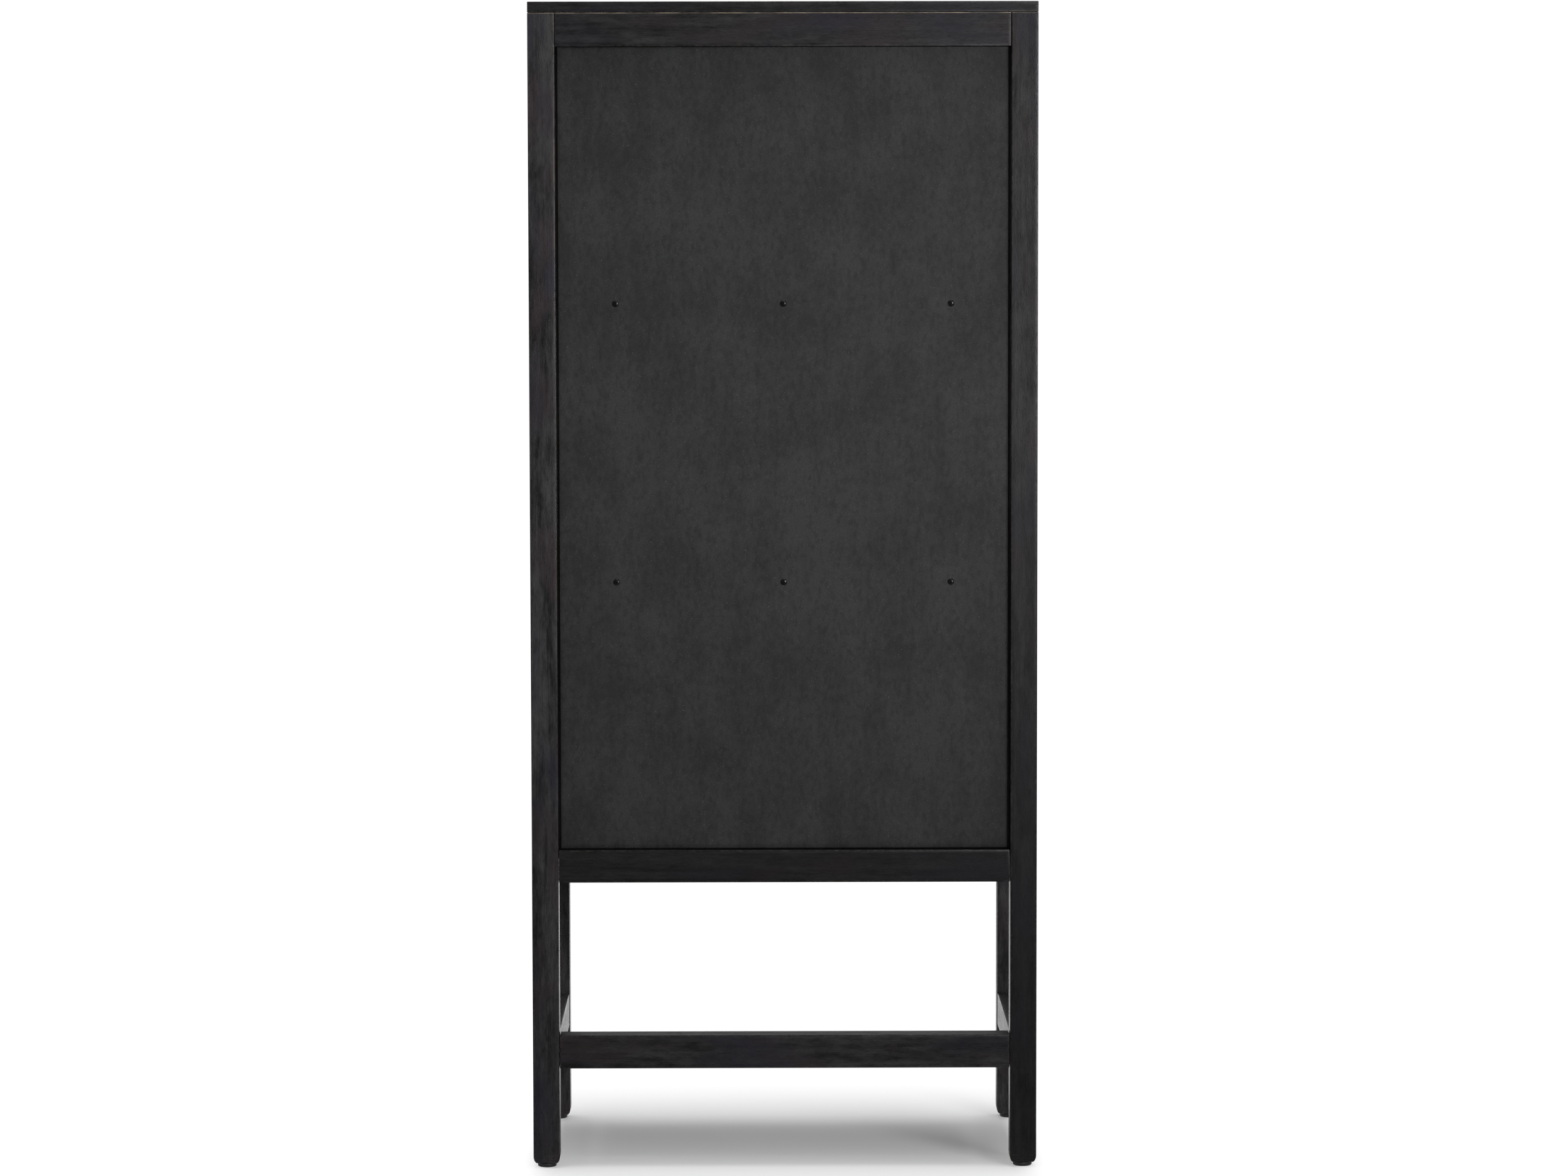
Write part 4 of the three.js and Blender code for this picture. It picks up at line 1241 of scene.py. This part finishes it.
class CABINET_OT_drawers(Operator):
    """Build the six drawers: front, sides, back, base, knob and card holder"""

    bl_idname = "cabinet.drawers"
    bl_label = "Drawers"

    def execute(self, context):
        for level, column in itertools.product(LEVELS, COLUMNS):
            self.build(f"{level}_{column}_drawer", f"drawer_{level}_{column}")
        return {"FINISHED"}

    def build(self, node, body):
        low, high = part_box(node)
        front_back = low.y + DRAWER_FRONT
        rim = high.z - DRAWER_RIM_DROP
        front_low = low.z + DRAWER_FRONT_LIFT
        left, right = low.x + DRAWER_SIDE, high.x - DRAWER_SIDE
        groove = low.z + DRAWER_BASE_LIFT
        base_top = groove + DRAWER_BASE / 2
        inside, back_face = front_back + SEAM, high.y - 0.5 * MM
        boards = {
            "front": ((low.x, low.y, front_low), (high.x, front_back, high.z), X, FRONT_EASE),
            "left_side": ((low.x, inside, low.z), (left, high.y, rim), Y, SIDE_EASE),
            "right_side": ((right, inside, low.z), (high.x, high.y, rim), Y, SIDE_EASE),
            "back": (
                (left + SEAM, high.y - DRAWER_SIDE, base_top + SEAM),
                (right - SEAM, back_face, rim - DRAWER_BACK_DROP),
                X,
                SIDE_EASE,
            ),
            "base": (
                (left + SEAM, inside, groove - DRAWER_BASE_SINK),
                (right - SEAM, back_face, base_top),
                Y,
                BASE_EASE,
            ),
        }
        for part, (start, stop, axis, ease) in boards.items():
            stands_for = [node] if part == "front" else ()
            board(f"{node}_{part}", start, stop, axis, body, stands_for, ease=ease)
        middle = (low.x + high.x) / 2
        centre = (front_low + high.z) / 2
        knob(f"{node}_pull", f"{node}_knob", body)
        card_holder(node, body, middle, low.y, centre + HOLDER_RISE)


# ---- Stage --------------------------------------------------------------------------------


def softbox(name, place, target, size, power, spread=math.pi):
    lamp = bpy.data.lights.new(name, "AREA")
    lamp.shape = "RECTANGLE"
    lamp.size, lamp.size_y = size
    lamp.spread = spread
    lamp.energy = power
    obj = bpy.data.objects.new(name, lamp)
    bpy.context.scene.collection.objects.link(obj)
    obj.location = place
    direction = Vector(target) - Vector(place)
    obj.rotation_euler = direction.to_track_quat("-Z", "Y").to_euler()


def lit_white(sheet, before, behind, mirrored, toward_rear):
    """White for the camera. As a light it is strong before the cabinet and weak behind it.

    A mirror shows it dim, as a dark flag before the window panes would.
    """
    seen = sheet.add("ShaderNodeLightPath")
    in_mirror = sheet.add("ShaderNodeLightPath", output=sheet.IN_MIRROR)
    light = before + toward_rear * (behind - before)
    light = light + in_mirror * (mirrored - light)
    return light + seen * (WHITE - light)


def floor_material(studio):
    """White like the background, but matt under the cabinet, where its soft shadow falls."""
    material, sheet = new_material("studio_floor")
    place = sheet.place()
    beside = sheet.number("ABSOLUTE", sheet.component(place, X))
    before = sheet.number("ABSOLUTE", sheet.component(place, Y) - studio.shade_middle)
    inner, outer = studio.shade_width - SHADE_FADE_IN, studio.shade_width + SHADE_FADE_OUT
    near = 1 - sheet.ease(beside, inner, outer)
    near = near * (1 - sheet.ease(before, 0.0, studio.shade_depth))
    matt = sheet.add("ShaderNodeBsdfDiffuse", {}, {"Color": rgba((studio.floor_white,) * 3)})
    toward_rear = sheet.ease(sheet.component(place, Y), *FLOOR_TURN)
    beyond = sheet.ease(beside, *FLOOR_FAR)
    front = studio.floor_front + beyond * (studio.front_light - studio.floor_front)
    light = lit_white(sheet, front, studio.floor_rear, studio.mirrored, toward_rear)
    glow = sheet.add("ShaderNodeEmission", {}, {"Color": light, "Strength": 1.0})
    mix = sheet.add("ShaderNodeMixShader", {}, {"Fac": near, "Shader": glow, "Shader_001": matt})
    sheet.add("ShaderNodeOutputMaterial", {}, {"Surface": mix})
    return material


class CABINET_OT_stage(Operator):
    """Set the white floor and background, the soft lights and the camera behind the cabinet"""

    bl_idname = "cabinet.stage"
    bl_label = "Stage"

    def execute(self, context):
        studio = context.scene.cabinet.studio
        self.floor(studio)
        self.world(context.scene, studio)
        rear = CAD_BOX[1].y
        top_place, top_target = (0, 0, 4.2), (0, 0, 0)
        softbox("overhead_softbox", top_place, top_target, (2.6, 2.2), studio.overhead)
        key_place, key_target = (-1.6, 2.8, 1.5), (0, rear, 1.25)
        softbox("key_softbox", key_place, key_target, (1.1, 1.3), studio.key, math.radians(62))
        self.camera(context.scene, rear)
        context.scene.view_settings.view_transform = "Standard"
        return {"FINISHED"}

    def floor(self, studio):
        bm = bmesh.new()
        bmesh.ops.create_grid(bm, x_segments=8, y_segments=8, size=FLOOR_REACH)
        floor = piece_from(bm, "studio_floor")
        floor.data.materials.append(floor_material(studio))

    def world(self, scene, studio):
        scene.world = bpy.data.worlds.new("studio_white")
        sheet = Sheet(scene.world)
        direction = sheet.add("ShaderNodeTexCoord")
        toward_rear = sheet.ease(sheet.component(direction, Y), *WORLD_TURN)
        front, rear = studio.front_light, studio.rear_light
        light = lit_white(sheet, front, rear, studio.mirrored, toward_rear)
        background = sheet.add("ShaderNodeBackground", {}, {"Color": light, "Strength": 1.0})
        sheet.add("ShaderNodeOutputWorld", {}, {"Surface": background})

    def camera(self, scene, rear):
        view = scene.cabinet.camera
        lens = bpy.data.cameras.new("camera")
        lens.lens = view.lens
        lens.sensor_width = 36.0
        lens.clip_end = 200.0
        camera = bpy.data.objects.new("camera", lens)
        scene.collection.objects.link(camera)
        turn = Matrix.Rotation(math.pi - view.yaw, 4, "Z")
        tilt = Matrix.Rotation(math.pi / 2 - view.pitch, 4, "X")
        roll = Matrix.Rotation(-view.roll, 4, "Z")
        place = Matrix.Translation((view.across, rear + view.distance, view.height))
        camera.matrix_world = place @ turn @ tilt @ roll
        scene.camera = camera


# ---- Settings -----------------------------------------------------------------------------


def length(name, description, default):
    kind = {"subtype": "DISTANCE", "unit": "LENGTH"}
    return FloatProperty(name=name, description=description, default=default, min=0, **kind)


def colour(name, description, default):
    return FloatVectorProperty(
        name=name, description=description, default=default, min=0, max=1, subtype="COLOR"
    )


def share(name, description, default, most=1.0):
    return FloatProperty(name=name, description=description, default=default, min=0, max=most)


def angle(name, description, default):
    return FloatProperty(name=name, description=description, default=default, subtype="ANGLE")


class WoodSettings(PropertyGroup):
    """The black-stained wood"""

    stain_dark: colour("Dark stain", "Stain in the late wood", (0.003, 0.003, 0.0031))
    stain_light: colour("Light stain", "Stain on the early wood", (0.040, 0.039, 0.040))
    stain_warm: colour("Warm patches", "Brown that shows through", (0.028, 0.018, 0.020))
    stain_cool: colour("Cool patches", "Blue cast of the stain", (0.016, 0.016, 0.026))
    bare_wood: colour("Rubbed wood", "Wood rubbed bare at an arris", (0.13, 0.11, 0.09))
    # Colour of the pale line along the top of the frame, partly raw wood and partly a painted
    # highlight, and of the painted highlight up one post's arris
    raw_wood_and_highlight: colour("Raw wood", "Unstained wood in the seam under the top", (0.42, 0.34, 0.25))
    wear: share("Wear", "How much of each arris is rubbed", 0.2)
    # Strength of that pale line and of the painted highlight up one arris
    raw_and_highlight_strength: share("Raw edge", "How raw the wood is along the top of the frame", 0.5)
    roughness: share("Roughness", "Mean roughness of the finish", 0.4)
    sheen: share("Gloss level", "Specular level of the finish", 0.17)
    grain_relief: length("Grain relief", "Height of the raised grain", 0.12 * MM)
    arris: length("Arris", "Rounding of the boards' edges", 1.0 * MM)


class PaintSettings(PropertyGroup):
    """The painted back panel"""

    colour: colour("Paint", "Colour of the back panel", (0.0200, 0.0200, 0.0201))
    fleck: colour("Flecks", "Colour of stray fibres", (0.07, 0.07, 0.07))
    roughness: share("Roughness", "Roughness of the paint", 0.6)
    sheen: share("Gloss level", "Specular level of the paint", 0.2)
    relief: length("Relief", "Depth of the woven print", 0.1 * MM)
    arris: length("Arris", "Rounding of the panel's edges", 0.8 * MM)


class HardwareSettings(PropertyGroup):
    """Knobs, hinges, screws and holders"""

    bronze: colour("Bronze", "Patina of knobs, hinges and holders", (0.035, 0.028, 0.022))
    rubbed_bronze: colour("Rubbed bronze", "Metal under the patina", (0.16, 0.115, 0.07))
    oxide: colour("Black oxide", "Colour of the back's screws", (0.012, 0.012, 0.013))
    bare_oxide: colour("Bare steel", "Steel under the black oxide", (0.06, 0.06, 0.062))


class StudioSettings(PropertyGroup):
    """Floor, background and lights"""

    floor_white: share("Floor", "How white the matt floor is", 0.88)
    shade_width: length("Shade half width", "How far the matt floor reaches sideways", 0.4)
    shade_depth: length("Shade depth", "How far the matt floor reaches to front and rear", 0.64)
    shade_middle: FloatProperty(name="Shade middle", description="Middle of the shade", default=0)
    front_light: share("Front light", "Light from the white surroundings in front", 0.5, 5.0)
    rear_light: share("Rear light", "Light from the white surroundings behind", 0.42, 5.0)
    floor_front: share("Floor light in front", "Light from the floor in front", 1.7, 5.0)
    floor_rear: share("Floor light behind", "Light from the floor behind", 0.42, 5.0)
    mirrored: share("Mirrored light", "The white surroundings as the panes mirror them", 0.09)
    overhead: share("Overhead softbox", "Power in watts", 110.0, 2000.0)
    key: share("Key softbox", "Power in watts", 11.5, 2000.0)


class CameraSettings(PropertyGroup):
    """The camera behind the cabinet"""

    lens: FloatProperty(name="Lens", description="Focal length", default=108.68, unit="CAMERA")
    distance: length("Distance", "From the back of the case", 7.446)
    height: length("Height", "Above the floor", 1.475)
    across: length("Across", "To the right of the middle, seen from the front", 0.0356)
    pitch: angle("Pitch", "Downwards", 0.0737)
    yaw: angle("Yaw", "Towards the right of the view", 0.0048)
    roll: angle("Roll", "Clockwise", 0.0018)


class CabinetSettings(PropertyGroup):
    """Everything about the cabinet that can be changed"""

    wood: PointerProperty(type=WoodSettings, name="Wood")
    paint: PointerProperty(type=PaintSettings, name="Paint")
    hardware: PointerProperty(type=HardwareSettings, name="Hardware")
    studio: PointerProperty(type=StudioSettings, name="Studio")
    camera: PointerProperty(type=CameraSettings, name="Camera")


STEPS = (
    CABINET_OT_stage,
    CABINET_OT_posts,
    CABINET_OT_top,
    CABINET_OT_rails,
    CABINET_OT_side_panels,
    CABINET_OT_back,
    CABINET_OT_shelves,
    CABINET_OT_grid,
    CABINET_OT_glides,
    CABINET_OT_hinges,
    CABINET_OT_catch,
    CABINET_OT_doors,
    CABINET_OT_drawers,
)


class CABINET_PT_build(Panel):
    """Lists the pieces that can be built"""

    bl_idname = "CABINET_PT_build"
    bl_label = "Apothecary Cabinet"
    bl_space_type = "VIEW_3D"
    bl_region_type = "UI"
    bl_category = "Cabinet"

    def draw(self, context):
        for step in STEPS:
            self.layout.operator(step.bl_idname)


CLASSES = (
    WoodSettings,
    PaintSettings,
    HardwareSettings,
    StudioSettings,
    CameraSettings,
    CabinetSettings,
    *STEPS,
    CABINET_PT_build,
)


def register():
    for cls in CLASSES:
        bpy.utils.register_class(cls)
    bpy.types.Scene.cabinet = PointerProperty(type=CabinetSettings)


def unregister():
    del bpy.types.Scene.cabinet
    for cls in reversed(CLASSES):
        bpy.utils.unregister_class(cls)


def main():
    register()
    for step in STEPS:
        group, name = step.bl_idname.split(".")
        getattr(getattr(bpy.ops, group), name)()


if __name__ == "__main__":
    main()
